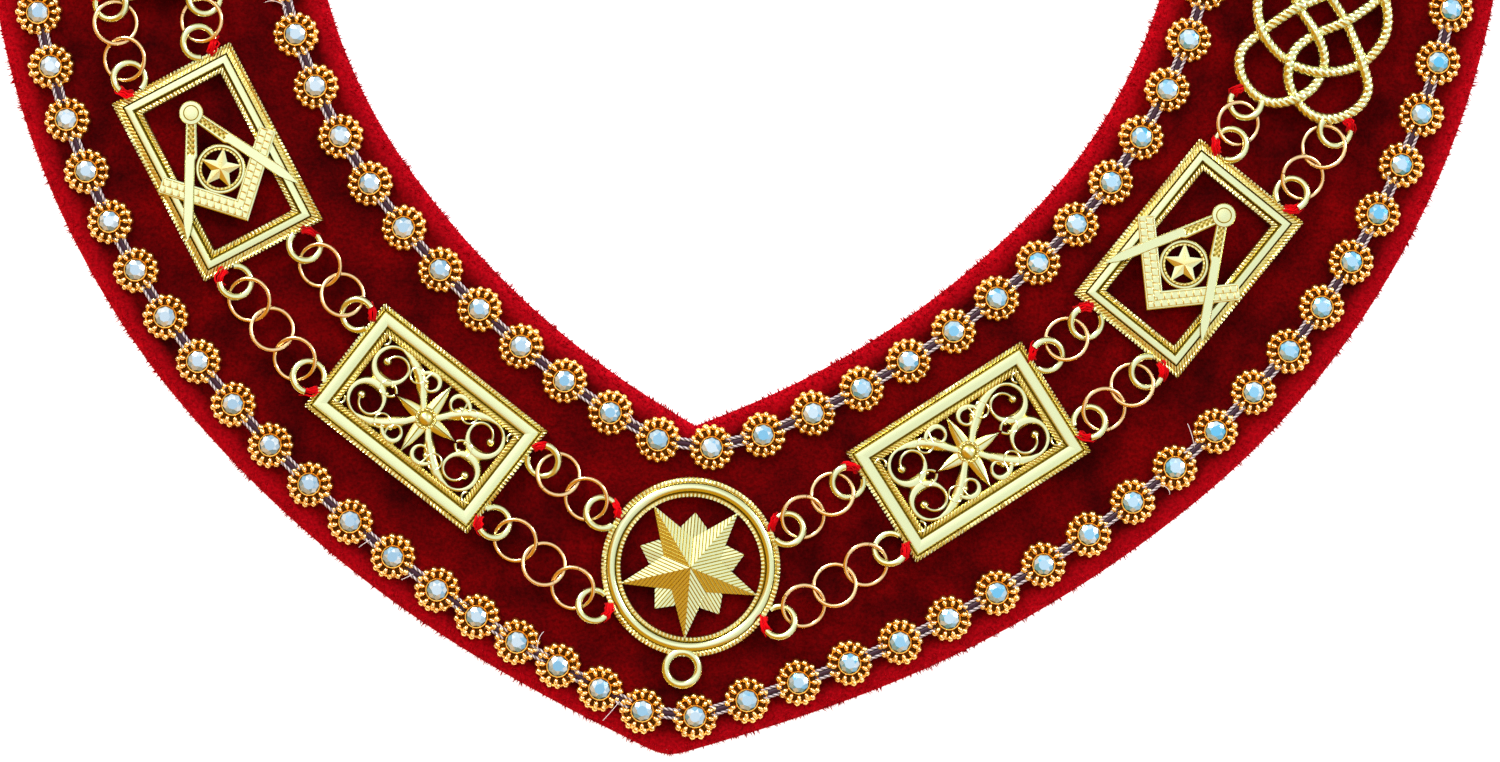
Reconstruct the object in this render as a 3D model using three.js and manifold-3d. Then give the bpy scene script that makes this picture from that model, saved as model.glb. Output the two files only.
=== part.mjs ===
// A masonic chain collar, lying flat: a closed band of red velvet, cut to a V at the chest and
// round at the nape. A row of gilt rosettes on two threads follows each edge. Between the rows lie
// seven gilt plates, joined by short chains of jump rings through eyes soldered to the plates: a
// five-pointed star in a round frame at the point, then on either side a plate of pierced
// scrollwork, a square and compasses in a frame, and a plate cast as interlaced rope.
//
// Millimetres, +Z up. x runs across the collar and y from the point of the V to the nape; the
// surface that the collar lies on is z = 0. Places on the collar are measured from the notch of
// the neck opening, and the last lines move the whole so that its middle stands at x = y = 0.

import * as THREE from 'three';
import { mergeVertices } from 'three/addons/utils/BufferGeometryUtils.js';
import Module from 'manifold-3d';

const wasm = await Module();
wasm.setup();

// Velvet band. Its middle line starts on the axis below the notch and turns up through these
// arcs; a last arc, worked out below, closes it at the nape.
const BAND_THICKNESS = 3;
const BAND_EDGE_ROUND = 1.2;
const HALF_WIDTH_AT_POINT = 46;
const HALF_WIDTH = 48.7;
const WIDENS_OVER = 150;
const NOTCH_TO_MIDDLE_LINE = 51;
const START_HEADING = 22.1;
const POINT_ARC = { radius: 500, sweep: 4.7 };
const SIDE_ARC = { radius: 306.9, sweep: 20.5 };
const SHOULDER_ARC = { radius: 209.1, sweep: 36.7 };
const POINT_ROUND = 14;
const BAND_STEPS = 28;

// Everything that is sewn on lies this far above the velvet.
const GAP = 0.3;

// Rosette rows, as flat strips of the rosettes' width and height
const ROW_WIDTH = 14;
const ROW_HEIGHT = 3.2;
const ROW_SLOPE = 1.5;
const OUTER_ROW = { offset: 36.3, pointRound: 14, steps: 20 };
const INNER_ROW = { offset: -36.7, pointRound: 45, steps: 15 };

// Moulded frames, and the eyes soldered to the plates
const FRAME_HEIGHT = 2.9;
const EYE_D = 11.5;
const EYE_WIRE = 1.9;
const EYE_SEAT = 1.5;

// Chains. Each ring bites into the next by a share of its wire, as they bear on one another.
const RING_D = 14;
const RING_WIRE = 1.3;
const RING_BITE = 0.7;
const LINK_CLEARANCE = 0.25;
const LINK_SIDES = 10;
const WIRE_SIDES = 5;

// Star medallion
const MEDALLION_D = 53.7;
const MEDALLION_FROM_NOTCH = 42.7;
const MEDALLION_SHIFT = 2.3;
const MEDALLION_FRAME_WIDTH = 5.9;
const MEDALLION_SIDES = 24;
const MEDALLION_EYE_ANGLE = 26.5;
const STAR_POINTS = 5;
const STAR_INNER_R = 8;
const STAR_BACK = 1.2;
const STAR_EDGE = 2;
const STAR_TIP_Z = 2.3;
const STAR_CROWN = 4.2;
const STAR_INTO_FRAME = 0.7;
const RAY_TIP_R = 16.4;
const RAY_SHOULDER_R = 12.4;
const RAY_HALF_WIDTH = 3.6;
const RAY_THICKNESS = 0.9;
const JEWEL_RING_D = 12.5;
const JEWEL_RING_WIRE = 2.7;

// Scrollwork plate
const SCROLL_PLATE = { length: 62, width: 39, frameWidth: 7.4 };
const SCROLL_EYE_OUT = 11.8;
const SCROLL_STRAND = 2.1;
const SCROLL_BACK = 0.8;
const SCROLL_THICKNESS = 1.6;
const SCROLL_BOSS_R = 3.4;
const SCROLL_BOSS_THICKNESS = 2.1;
const SCROLL_LEAF_WIDTH = 3.6;
const SCROLL_LEAF_LENGTH = 12;

// Square and compasses plate
const TOOLS_PLATE = { length: 60, width: 40, frameWidth: 7 };
const TOOLS_EYE_OUT = 11.7;
const TOOL_THICKNESS = 1.1;
const TOOL_OVERLAP = 0.275;
const HEAD_THICKNESS = 1.4;
const SQUARE_CORNER = 20;
const SQUARE_ARM_WIDTH = 5.2;
const SQUARE_ARM_LENGTH = 28;
const COMPASS_HEAD_Y = 16.4;
const COMPASS_HEAD_R = 3.6;
const COMPASS_POINT = { x: 18.6, y: -17 };
const COMPASS_LEG_WIDTH = 3;
const COMPASS_ARM_WIDTH = 4.2;
const COMPASS_ARM_LENGTH = 13;
const COMPASS_TIP_LENGTH = 5;
const ROUNDEL_Y = -2.4;
const ROUNDEL_R = 7.4;
const ROUNDEL_WIDTH = 1.9;
const ROUNDEL_STAR_INNER_R = 2.8;

// Rope plate
const ROPE_PLATE = { length: 63, width: 43 };
const ROPE_WIDTH = 3.1;
const ROPE_HEIGHT = 2.6;
const ROPE_WEAVE = 0.4;
const ROPE_EYE_FROM_SIDE = 7.5;
const ROPE_EYE_BEYOND_END = 0.5;

// Where each plate lies on its side of the band: along is a share of the half collar's middle
// line, across a share of the half width towards the outer edge, turn the plate's own lean in
// degrees from the band's direction. Both sides are sewn by hand and differ a little.
const PLACES = {
  scroll_plate_left: { along: 0.1587, across: -0.037, turn: -3.3 },
  scroll_plate_right: { along: 0.1652, across: -0.086, turn: 0.2 },
  compasses_plate_left: { along: 0.3292, across: -0.012, turn: -1.4 },
  compasses_plate_right: { along: 0.3181, across: -0.092, turn: -1.1 },
  rope_plate_left: { along: 0.4717, across: -0.04, turn: 0 },
  rope_plate_right: { along: 0.4628, across: -0.02, turn: -2.7 },
};

const velvetRed = new THREE.MeshStandardMaterial({ color: 0x8b0008, roughness: 0.95 });
const rosetteGold = new THREE.MeshStandardMaterial({ color: 0xc98f2c, roughness: 0.4, metalness: 1 });
const paleGilt = new THREE.MeshStandardMaterial({ color: 0xcfc27a, roughness: 0.3, metalness: 1 });
const ringGold = new THREE.MeshStandardMaterial({ color: 0xd9a868, roughness: 0.25, metalness: 1 });

const { degToRad, lerp } = THREE.MathUtils;
const SEWN_Z = BAND_THICKNESS + GAP;

// The rings lean just enough for two to pass each other where they cross, and lie on the velvet.
const ringRadius = (RING_D - RING_WIRE) / 2;
const halfSide = Math.PI / LINK_SIDES;
const ringReach = ringRadius * Math.cos(halfSide);
const bite = RING_BITE * RING_WIRE;
const ringHalfChord = ringRadius * Math.sin(halfSide) + bite / 2 / Math.tan(2 * halfSide);
const ringTilt = Math.asin((RING_WIRE + LINK_CLEARANCE / 2) / (2 * ringHalfChord));
const chainHeight = ringRadius * Math.sin(ringTilt) + RING_WIRE / 2;

// Solids

function toSolid(geometry) {
  const bare = geometry.clone();
  bare.deleteAttribute('normal');
  bare.deleteAttribute('uv');
  const merged = mergeVertices(bare, 1e-4);
  const mesh = new wasm.Mesh({
    numProp: 3,
    vertProperties: new Float32Array(merged.attributes.position.array),
    triVerts: new Uint32Array(merged.index.array),
  });
  return new wasm.Manifold(mesh);
}

function fuse(geometries) {
  const whole = geometries.map(toSolid).reduce((sum, piece) => sum.add(piece));
  const { vertProperties, triVerts } = whole.getMesh();
  const geometry = new THREE.BufferGeometry();
  geometry.setAttribute('position', new THREE.BufferAttribute(new Float32Array(vertProperties), 3));
  geometry.setIndex(new THREE.BufferAttribute(new Uint32Array(triVerts), 1));
  return geometry;
}

// A skin over sections of equal count, either a closed ring of them or with a flat face at each
// end. A section's points run anticlockwise, seen looking along the way that the sections go.
function loft(sections, closed) {
  const count = sections[0].length;
  const index = [];
  for (let i = 0; i < sections.length - (closed ? 0 : 1); i++) {
    const here = i * count;
    const next = ((i + 1) % sections.length) * count;
    for (let j = 0; j < count; j++) {
      const beside = (j + 1) % count;
      index.push(here + j, next + beside, here + beside, here + j, next + j, next + beside);
    }
  }
  if (!closed) {
    const end = (sections.length - 1) * count;
    for (let j = 1; j < count - 1; j++) {
      index.push(0, j, j + 1, end, end + j + 1, end + j);
    }
  }
  const positions = sections.flat().flatMap((point) => [point.x, point.y, point.z]);
  const geometry = new THREE.BufferGeometry();
  geometry.setAttribute('position', new THREE.Float32BufferAttribute(positions, 3));
  geometry.setIndex(index);
  return geometry;
}

// The sections of a strand along a path: an outline entry is [across, up], with across to the
// right of the path and up above it.
function strandSections(path, outline, closed = false) {
  const count = path.length;
  return path.map((point, k) => {
    const before = closed ? path[(k - 1 + count) % count] : path[Math.max(k - 1, 0)];
    const after = closed ? path[(k + 1) % count] : path[Math.min(k + 1, count - 1)];
    const heading = Math.atan2(after.y - before.y, after.x - before.x);
    return outline.map(([across, up]) => new THREE.Vector3(
      point.x + across * Math.sin(heading),
      point.y - across * Math.cos(heading),
      point.z + up,
    ));
  });
}

function flatPiece(points, thickness, bottom) {
  const shape = new THREE.Shape(points.map(([x, y]) => new THREE.Vector2(x, y)));
  const geometry = new THREE.ExtrudeGeometry(shape, { depth: thickness, bevelEnabled: false });
  return geometry.translate(0, 0, bottom);
}

function disc(radius, thickness, bottom, sides) {
  const geometry = new THREE.CylinderGeometry(radius, radius, thickness, sides);
  return geometry.rotateX(Math.PI / 2).translate(0, 0, bottom + thickness / 2);
}

// A ring of round wire, with a flat side of its outline towards +x and -x.
function wireRing(diameter, wire) {
  return new THREE.TorusGeometry((diameter - wire) / 2, wire / 2, WIRE_SIDES, LINK_SIDES).rotateZ(halfSide);
}

// Paths

// Points along arcs that follow one another. A positive sweep turns left.
function arcPath(start, startHeading, arcs, degreesPerStep) {
  const points = [new THREE.Vector3(start.x, start.y, 0)];
  let heading = degToRad(startHeading);
  for (const { radius, sweep } of arcs) {
    const steps = Math.ceil(Math.abs(sweep) / degreesPerStep);
    const signed = radius * Math.sign(sweep);
    for (let k = 0; k < steps; k++) {
      const next = heading + degToRad(sweep / steps);
      const { x, y } = points.at(-1);
      points.push(new THREE.Vector3(
        x + signed * (Math.sin(next) - Math.sin(heading)),
        y - signed * (Math.cos(next) - Math.cos(heading)),
        0,
      ));
      heading = next;
    }
  }
  return points;
}

// The right half of the middle line: the arcs above, then one that meets the axis squarely.
const MIDDLE_LINE_START = { x: 0, y: -NOTCH_TO_MIDDLE_LINE };
const MIDDLE_LINE_ARCS = [POINT_ARC, SIDE_ARC, SHOULDER_ARC];
const shoulder = arcPath(MIDDLE_LINE_START, START_HEADING, MIDDLE_LINE_ARCS, 90).at(-1);
const shoulderHeading = MIDDLE_LINE_ARCS.reduce((sum, { sweep }) => sum + sweep, START_HEADING);
const NAPE_ARC = { radius: shoulder.x / Math.sin(degToRad(shoulderHeading)), sweep: 180 - shoulderHeading };
const MIDDLE_LINE = [...MIDDLE_LINE_ARCS, NAPE_ARC];
const HALF_LENGTH = MIDDLE_LINE.reduce((sum, { radius, sweep }) => sum + radius * degToRad(sweep), 0);

// A point beside the middle line, out towards the outer edge, and the heading there. A negative
// distance follows the first arc backwards, across the axis.
function besideMiddleLine(distance, out) {
  let { x, y } = MIDDLE_LINE_START;
  let heading = degToRad(START_HEADING);
  let left = distance;
  for (const { radius, sweep } of MIDDLE_LINE) {
    const turn = Math.min(degToRad(sweep), left / radius);
    x += radius * (Math.sin(heading + turn) - Math.sin(heading));
    y -= radius * (Math.cos(heading + turn) - Math.cos(heading));
    heading += turn;
    left = Math.max(left - turn * radius, 0);
    if (left === 0) break;
  }
  return { x: x + out * Math.sin(heading), y: y - out * Math.cos(heading), heading };
}

function halfWidthAt(distance) {
  return lerp(HALF_WIDTH_AT_POINT, HALF_WIDTH, Math.min(Math.max(distance / WIDENS_OVER, 0), 1));
}

// A line beside the middle line, from the axis at the point to the axis at the nape, in even
// steps. Its corner on the axis at the point is rounded.
function lane(outAt, pointRound, steps) {
  const samples = 500;
  const points = [];
  for (let k = 0; k <= samples; k++) {
    const distance = lerp(-2 * HALF_WIDTH, HALF_LENGTH, k / samples);
    const { x, y } = besideMiddleLine(distance, outAt(distance));
    if (x > 0.01) points.push(new THREE.Vector2(x, y));
  }
  const axisY = (near, next) => near.y - near.x * (next.y - near.y) / (next.x - near.x);
  points.unshift(new THREE.Vector2(0, axisY(points[0], points[1])));
  points.push(new THREE.Vector2(0, axisY(points.at(-1), points.at(-2))));
  const slope = Math.atan2(points[1].y - points[0].y, points[1].x - points[0].x);
  const roundY = points[0].y + pointRound / Math.cos(slope);
  for (const point of points.slice(0, samples / 2)) {
    if (point.x < pointRound * Math.sin(slope)) point.y = roundY - Math.sqrt(pointRound ** 2 - point.x ** 2);
  }
  const curve = new THREE.SplineCurve(points);
  curve.arcLengthDivisions = 2 * samples;
  return curve.getSpacedPoints(steps);
}

// A closed loop round the collar between two lanes. An outline entry is [share of the way from
// the inner to the outer lane, millimetres further the same way, height].
function loopBetween(innerLane, outerLane, outline) {
  const rightHalf = innerLane.map((inner, k) => {
    const across = outerLane[k].clone().sub(inner);
    const unit = across.clone().normalize();
    return outline.map(([share, further, z]) => new THREE.Vector3(
      inner.x + across.x * share + unit.x * further,
      inner.y + across.y * share + unit.y * further,
      z,
    ));
  });
  const leftHalf = rightHalf.slice(1, -1).reverse()
    .map((section) => section.map(({ x, y, z }) => new THREE.Vector3(-x, y, z)));
  return loft([...rightHalf, ...leftHalf], true);
}

function velvetBand() {
  const inner = lane((distance) => -halfWidthAt(distance), 0, BAND_STEPS);
  const outer = lane(halfWidthAt, POINT_ROUND, BAND_STEPS);
  return loopBetween(inner, outer, [
    [0, BAND_EDGE_ROUND, 0],
    [1, -BAND_EDGE_ROUND, 0],
    [1, 0, BAND_THICKNESS / 2],
    [1, -BAND_EDGE_ROUND, BAND_THICKNESS],
    [0, BAND_EDGE_ROUND, BAND_THICKNESS],
    [0, 0, BAND_THICKNESS / 2],
  ]);
}

function rosetteRow({ offset, pointRound, steps }) {
  const inner = lane(() => offset - ROW_WIDTH / 2, pointRound, steps);
  const outer = lane(() => offset + ROW_WIDTH / 2, pointRound, steps);
  const top = SEWN_Z + ROW_HEIGHT;
  return loopBetween(inner, outer, [
    [0, 0, SEWN_Z],
    [1, 0, SEWN_Z],
    [1, -ROW_SLOPE, top],
    [0, ROW_SLOPE, top],
  ]);
}

// Plates. Each is drawn about its own middle, with y along the band and its back at z = 0.

// A moulded frame's section, as shares of its width in from the outer edge and of its height:
// beaded border, groove, flat rim, bevel and inner bead row.
const MOULDING = [
  { inset: 0, height: 0 },
  { inset: 0, height: 0.7 },
  { inset: 0.2, height: 0.74 },
  { inset: 0.3, height: 1 },
  { inset: 0.62, height: 1 },
  { inset: 0.76, height: 0.5 },
  { inset: 1, height: 0.62 },
  { inset: 1, height: 0 },
];

function rectangularFrame({ length, width, frameWidth }) {
  const corners = [[1, 1], [-1, 1], [-1, -1], [1, -1]];
  return loft(corners.map(([signX, signY]) => MOULDING.map(({ inset, height }) => new THREE.Vector3(
    signX * (width / 2 - inset * frameWidth),
    signY * (length / 2 - inset * frameWidth),
    height * FRAME_HEIGHT,
  ))), true);
}

function roundFrame(diameter, frameWidth) {
  const sections = [];
  for (let k = 0; k < MEDALLION_SIDES; k++) {
    const angle = 2 * Math.PI * k / MEDALLION_SIDES;
    sections.push(MOULDING.map(({ inset, height }) => {
      const radius = diameter / 2 - inset * frameWidth;
      return new THREE.Vector3(radius * Math.cos(angle), radius * Math.sin(angle), height * FRAME_HEIGHT);
    }));
  }
  return loft(sections, true);
}

// The corners of a star with one point straight down, tips and inner corners in turn.
function starCorners(tipRadius, innerRadius) {
  const corners = [];
  for (let k = 0; k < 2 * STAR_POINTS; k++) {
    const angle = Math.PI * (k / STAR_POINTS - 0.5);
    const radius = k % 2 ? innerRadius : tipRadius;
    corners.push([radius * Math.cos(angle), radius * Math.sin(angle)]);
  }
  return corners;
}

// A star whose points are ridged, rising to a crown in the middle.
function facetedStar(tipRadius) {
  const corners = starCorners(tipRadius, STAR_INNER_R);
  const count = corners.length;
  const positions = [0, 0, STAR_BACK, 0, 0, STAR_CROWN];
  corners.forEach(([x, y], k) => {
    positions.push(x, y, STAR_BACK, x, y, k % 2 ? STAR_EDGE : STAR_TIP_Z);
  });
  const index = [];
  for (let k = 0; k < count; k++) {
    const low = 2 + 2 * k;
    const nextLow = 2 + 2 * ((k + 1) % count);
    index.push(0, nextLow, low, 1, low + 1, nextLow + 1);
    index.push(low, nextLow, nextLow + 1, low, nextLow + 1, low + 1);
  }
  const geometry = new THREE.BufferGeometry();
  geometry.setAttribute('position', new THREE.Float32BufferAttribute(positions, 3));
  geometry.setIndex(index);
  return geometry;
}

function starMedallion() {
  const innerRadius = MEDALLION_D / 2 - MEDALLION_FRAME_WIDTH;
  const ray = [
    [STAR_INNER_R / 2, 0],
    [RAY_SHOULDER_R, -RAY_HALF_WIDTH],
    [RAY_TIP_R, 0],
    [RAY_SHOULDER_R, RAY_HALF_WIDTH],
  ];
  const rays = [];
  for (let k = 0; k < STAR_POINTS; k++) {
    const angle = 2 * Math.PI * k / STAR_POINTS + Math.PI / 2;
    rays.push(flatPiece(ray, RAY_THICKNESS, STAR_BACK / 2).rotateZ(angle));
  }
  const jewelRing = wireRing(JEWEL_RING_D, JEWEL_RING_WIRE);
  jewelRing.translate(0, JEWEL_RING_WIRE - (MEDALLION_D + JEWEL_RING_D) / 2, JEWEL_RING_WIRE / 2);
  return [
    roundFrame(MEDALLION_D, MEDALLION_FRAME_WIDTH),
    facetedStar(innerRadius + STAR_INTO_FRAME),
    ...rays,
    jewelRing,
  ];
}

// Scrollwork. The arcs are drawn in one quarter of the opening, with x along the plate; starts
// and radii are shares of half the opening's width.
const SCROLLS = [
  {
    fromEnd: 0.33,
    up: 0.52,
    heading: 90,
    arcs: [[0.3, 180], [0.445, 180], [0.465, 90], [1, 25], [1.65, 20], [5, 5]],
  },
  { fromEnd: 1.165, up: 0.745, heading: 110, arcs: [[0.37, 70], [0.215, 150], [0.15, 120]] },
];

function scrollPlate() {
  const halfLength = SCROLL_PLATE.length / 2 - SCROLL_PLATE.frameWidth;
  const halfWidth = SCROLL_PLATE.width / 2 - SCROLL_PLATE.frameWidth;
  const ridge = [[-SCROLL_STRAND / 2, 0], [SCROLL_STRAND / 2, 0], [0, SCROLL_THICKNESS]];
  const pieces = [rectangularFrame(SCROLL_PLATE)];
  for (const { fromEnd, up, heading, arcs } of SCROLLS) {
    const start = { x: halfLength - fromEnd * halfWidth, y: up * halfWidth };
    const lengths = arcs.map(([radius, sweep]) => ({ radius: radius * halfWidth, sweep }));
    const path = arcPath(start, heading, lengths, 45);
    for (const [signX, signY] of [[1, 1], [-1, 1], [-1, -1], [1, -1]]) {
      const quarter = path.map(({ x, y }) => new THREE.Vector3(signX * y, signY * x, SCROLL_BACK));
      pieces.push(loft(strandSections(quarter, ridge), false));
    }
  }
  const leaf = SCROLL_LEAF_WIDTH / 2;
  const reach = SCROLL_LEAF_LENGTH;
  pieces.push(disc(SCROLL_BOSS_R, SCROLL_BOSS_THICKNESS, SCROLL_BACK, 10));
  pieces.push(flatPiece([[0, -reach], [leaf, -reach / 2], [leaf, reach / 2], [0, reach],
    [-leaf, reach / 2], [-leaf, -reach / 2]], SCROLL_THICKNESS, SCROLL_BACK));
  const tie = halfWidth + SCROLL_STRAND / 4;
  pieces.push(flatPiece([[-tie, 0], [0, -leaf], [tie, 0], [0, leaf]], SCROLL_THICKNESS, SCROLL_BACK));
  return pieces;
}

function compassesPlate() {
  const squareBottom = FRAME_HEIGHT - TOOL_THICKNESS / 2;
  const compassBottom = squareBottom + TOOL_THICKNESS - TOOL_OVERLAP;
  const arm = SQUARE_ARM_LENGTH * Math.SQRT1_2;
  const wide = SQUARE_ARM_WIDTH * Math.SQRT1_2;
  const square = flatPiece([
    [0, -SQUARE_CORNER],
    [arm, arm - SQUARE_CORNER],
    [arm - wide, arm + wide - SQUARE_CORNER],
    [0, 2 * wide - SQUARE_CORNER],
    [wide - arm, arm + wide - SQUARE_CORNER],
    [-arm, arm - SQUARE_CORNER],
  ], TOOL_THICKNESS, squareBottom);
  const reach = Math.hypot(COMPASS_POINT.x, COMPASS_HEAD_Y - COMPASS_POINT.y);
  const lean = Math.atan2(COMPASS_POINT.x, COMPASS_HEAD_Y - COMPASS_POINT.y);
  const legs = [-1, 1].map((side) => flatPiece([
    [-COMPASS_LEG_WIDTH / 2, 0],
    [-COMPASS_LEG_WIDTH / 2, COMPASS_TIP_LENGTH - reach],
    [0, -reach],
    [COMPASS_LEG_WIDTH / 2, COMPASS_TIP_LENGTH - reach],
    [COMPASS_LEG_WIDTH / 2, -COMPASS_ARM_LENGTH - 1],
    [COMPASS_ARM_WIDTH / 2, -COMPASS_ARM_LENGTH],
    [COMPASS_LEG_WIDTH / 2, 0],
  ].map(([x, y]) => [x * -side, y]), TOOL_THICKNESS, compassBottom)
    .rotateZ(side * lean)
    .translate(0, COMPASS_HEAD_Y, 0));
  const head = disc(COMPASS_HEAD_R, HEAD_THICKNESS, compassBottom, 12).translate(0, COMPASS_HEAD_Y, 0);
  const roundel = new THREE.Shape().absarc(0, 0, ROUNDEL_R, 0, 2 * Math.PI);
  roundel.holes.push(new THREE.Path().absarc(0, 0, ROUNDEL_R - ROUNDEL_WIDTH, 0, 2 * Math.PI, true));
  const ring = new THREE.ExtrudeGeometry(roundel, {
    depth: TOOL_THICKNESS,
    bevelEnabled: false,
    curveSegments: 7,
  });
  const star = flatPiece(
    starCorners(ROUNDEL_R - ROUNDEL_WIDTH / 2, ROUNDEL_STAR_INNER_R),
    TOOL_THICKNESS,
    squareBottom,
  );
  return [
    rectangularFrame(TOOLS_PLATE),
    square,
    ...legs,
    head,
    ring.translate(0, ROUNDEL_Y, squareBottom),
    star.translate(0, ROUNDEL_Y, 0),
  ];
}

// Rope plate: two long loops, each a mirror image of the other, woven with an oval ring. A point
// is a share of the plate's half width and half length; weave is 1 where the rope passes over,
// -1 where it passes under. A loop's lower half mirrors the upper one, with the weave turned.
const ROPE_LOOP = [
  { x: -0.375, y: 0, weave: 1 },
  { x: 0, y: 0.21, weave: -1 },
  { x: 0.215, y: 0.4, weave: 0 },
  { x: 0.26, y: 0.55, weave: 1 },
  { x: 0.2, y: 0.73, weave: 0 },
  { x: 0, y: 0.89, weave: -1 },
  { x: -0.315, y: 1, weave: 0 },
  { x: -0.65, y: 0.965, weave: 0 },
  { x: -0.925, y: 0.8, weave: 0 },
  { x: -1, y: 0.6, weave: 0 },
  { x: -0.79, y: 0.35, weave: 1 },
  { x: -0.6, y: 0.175, weave: 0 },
];
const ROPE_LOOP_STEPS = 24;
const ROPE_OVAL = [
  { angle: 0, weave: 0 },
  { angle: 37.5, weave: 1 },
  { angle: 75, weave: -1 },
  { angle: 105, weave: 1 },
  { angle: 142.5, weave: -1 },
];
const ROPE_OVAL_LENGTH = 0.58;
const ROPE_OVAL_STEPS = 16;

function ropePlate() {
  const halfWidth = (ROPE_PLATE.width - ROPE_WIDTH) / 2;
  const halfLength = (ROPE_PLATE.length - ROPE_WIDTH) / 2;
  const ridge = [[-ROPE_WIDTH / 2, 0], [ROPE_WIDTH / 2, 0], [0, ROPE_HEIGHT]];
  const sectionsOf = (controls, steps) => {
    const points = controls.map(({ x, y, weave }) => new THREE.Vector3(
      x * halfWidth,
      y * halfLength,
      (1 + weave) * ROPE_WEAVE,
    ));
    const path = new THREE.CatmullRomCurve3(points, true).getSpacedPoints(steps).slice(0, steps);
    return strandSections(path, ridge, true);
  };
  const turned = ({ x, y, weave }) => ({ x, y: -y, weave: -weave });
  const mirrored = ({ x, y, weave }) => ({ x: -x, y, weave: -weave });
  const loop = [...ROPE_LOOP, ...ROPE_LOOP.map(turned)];
  const pieces = [];
  for (const controls of [loop, loop.map(mirrored)]) {
    const sections = sectionsOf(controls, ROPE_LOOP_STEPS);
    const quarter = ROPE_LOOP_STEPS / 4;
    for (let first = quarter / 2; first < ROPE_LOOP_STEPS; first += quarter) {
      const strand = [...sections, ...sections].slice(first, first + quarter + 1);
      pieces.push(loft(strand, false));
    }
  }
  const halfOval = ROPE_OVAL.map(({ angle, weave }) => ({
    x: Math.cos(degToRad(angle)),
    y: ROPE_OVAL_LENGTH * Math.sin(degToRad(angle)),
    weave,
  }));
  const oval = [...halfOval, ...halfOval.map(({ x, y, weave }) => ({ x: -x, y: -y, weave }))];
  pieces.push(loft(sectionsOf(oval, ROPE_OVAL_STEPS), true));
  return pieces;
}

// Where the plates lie, and the eyes at each end's inner and outer corner

function placeOnBand({ side, along, across, turn }) {
  const { x, y, heading } = besideMiddleLine(along * HALF_LENGTH, across * HALF_WIDTH);
  return { x: side * x, y, angle: side * (heading - Math.PI / 2 + degToRad(turn)) };
}

const eyeBeyondRim = EYE_D / 2 - EYE_SEAT;
const KINDS = {
  scroll: {
    pieces: scrollPlate,
    eyeOut: SCROLL_EYE_OUT,
    eyeAlong: SCROLL_PLATE.length / 2 + eyeBeyondRim,
  },
  compasses: {
    pieces: compassesPlate,
    eyeOut: TOOLS_EYE_OUT,
    eyeAlong: TOOLS_PLATE.length / 2 + eyeBeyondRim,
  },
  rope: {
    pieces: ropePlate,
    eyeOut: ROPE_PLATE.width / 2 - ROPE_EYE_FROM_SIDE,
    eyeAlong: ROPE_PLATE.length / 2 + ROPE_EYE_BEYOND_END,
  },
};

// An eye's place on a plate: end is 1 at the plate's end nearer the nape and -1 at the other, row
// is 1 for the outer row of chains and -1 for the inner one.
function eyeSpot(kind, side, end, row) {
  if (kind === 'star') {
    const reach = MEDALLION_D / 2 + eyeBeyondRim;
    const angle = degToRad(MEDALLION_EYE_ANGLE);
    return { x: side * reach * Math.cos(angle), y: -row * reach * Math.sin(angle) };
  }
  const { eyeOut, eyeAlong } = KINDS[kind];
  return { x: side * row * eyeOut, y: end * eyeAlong };
}

function onCollar({ x, y, angle }, spot) {
  return {
    x: x + spot.x * Math.cos(angle) - spot.y * Math.sin(angle),
    y: y + spot.x * Math.sin(angle) + spot.y * Math.cos(angle),
  };
}

// Rings from one eye to another. They lean by turns to either side, enough for each to pass over
// and under its neighbours, and meet inside one another. The first eye leans down to its plate,
// which lies towards the heading plateward. Returns the rings and how far the eyes lean.
function chainBetween(start, end, plateward) {
  const span = Math.hypot(end.x - start.x, end.y - start.y);
  const heading = Math.atan2(end.y - start.y, end.x - start.x);
  const pitch = 2 * ringReach - bite;
  const count = Math.max(1, Math.round((span - 2 * ringRadius) / pitch) + 1);
  const eyeRadius = (EYE_D - EYE_WIRE) / 2;
  const toEye = (span - (count - 1) * pitch) / 2;
  const crossing = (toEye ** 2 + eyeRadius ** 2 - ringRadius ** 2) / (2 * toEye);
  const halfChord = Math.sqrt(eyeRadius ** 2 - crossing ** 2);
  const rise = (EYE_WIRE + RING_WIRE) / 2 + LINK_CLEARANCE;
  const eyeTilt = Math.asin(Math.max(0, rise / halfChord - Math.sin(ringTilt)));
  const lean = Math.sin(plateward - heading) < 0 ? -1 : 1;
  const rings = [];
  for (let k = 0; k < count; k++) {
    const reach = toEye + k * pitch;
    const x = start.x + reach * Math.cos(heading);
    const y = start.y + reach * Math.sin(heading);
    rings.push(wireRing(RING_D, RING_WIRE)
      .rotateX(k % 2 ? -lean * ringTilt : lean * ringTilt)
      .rotateZ(heading)
      .translate(x, y, SEWN_Z + chainHeight));
  }
  return { rings, heading, startTilt: -lean * eyeTilt, endTilt: (count % 2 ? -lean : lean) * eyeTilt };
}

function node(name, geometry, material) {
  const mesh = new THREE.Mesh(geometry, material);
  mesh.name = name;
  return mesh;
}

const collar = new THREE.Group();
collar.add(node('velvet_band', velvetBand(), velvetRed));
collar.add(node('outer_rosette_row', rosetteRow(OUTER_ROW), rosetteGold));
collar.add(node('inner_rosette_row', rosetteRow(INNER_ROW), rosetteGold));

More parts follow.
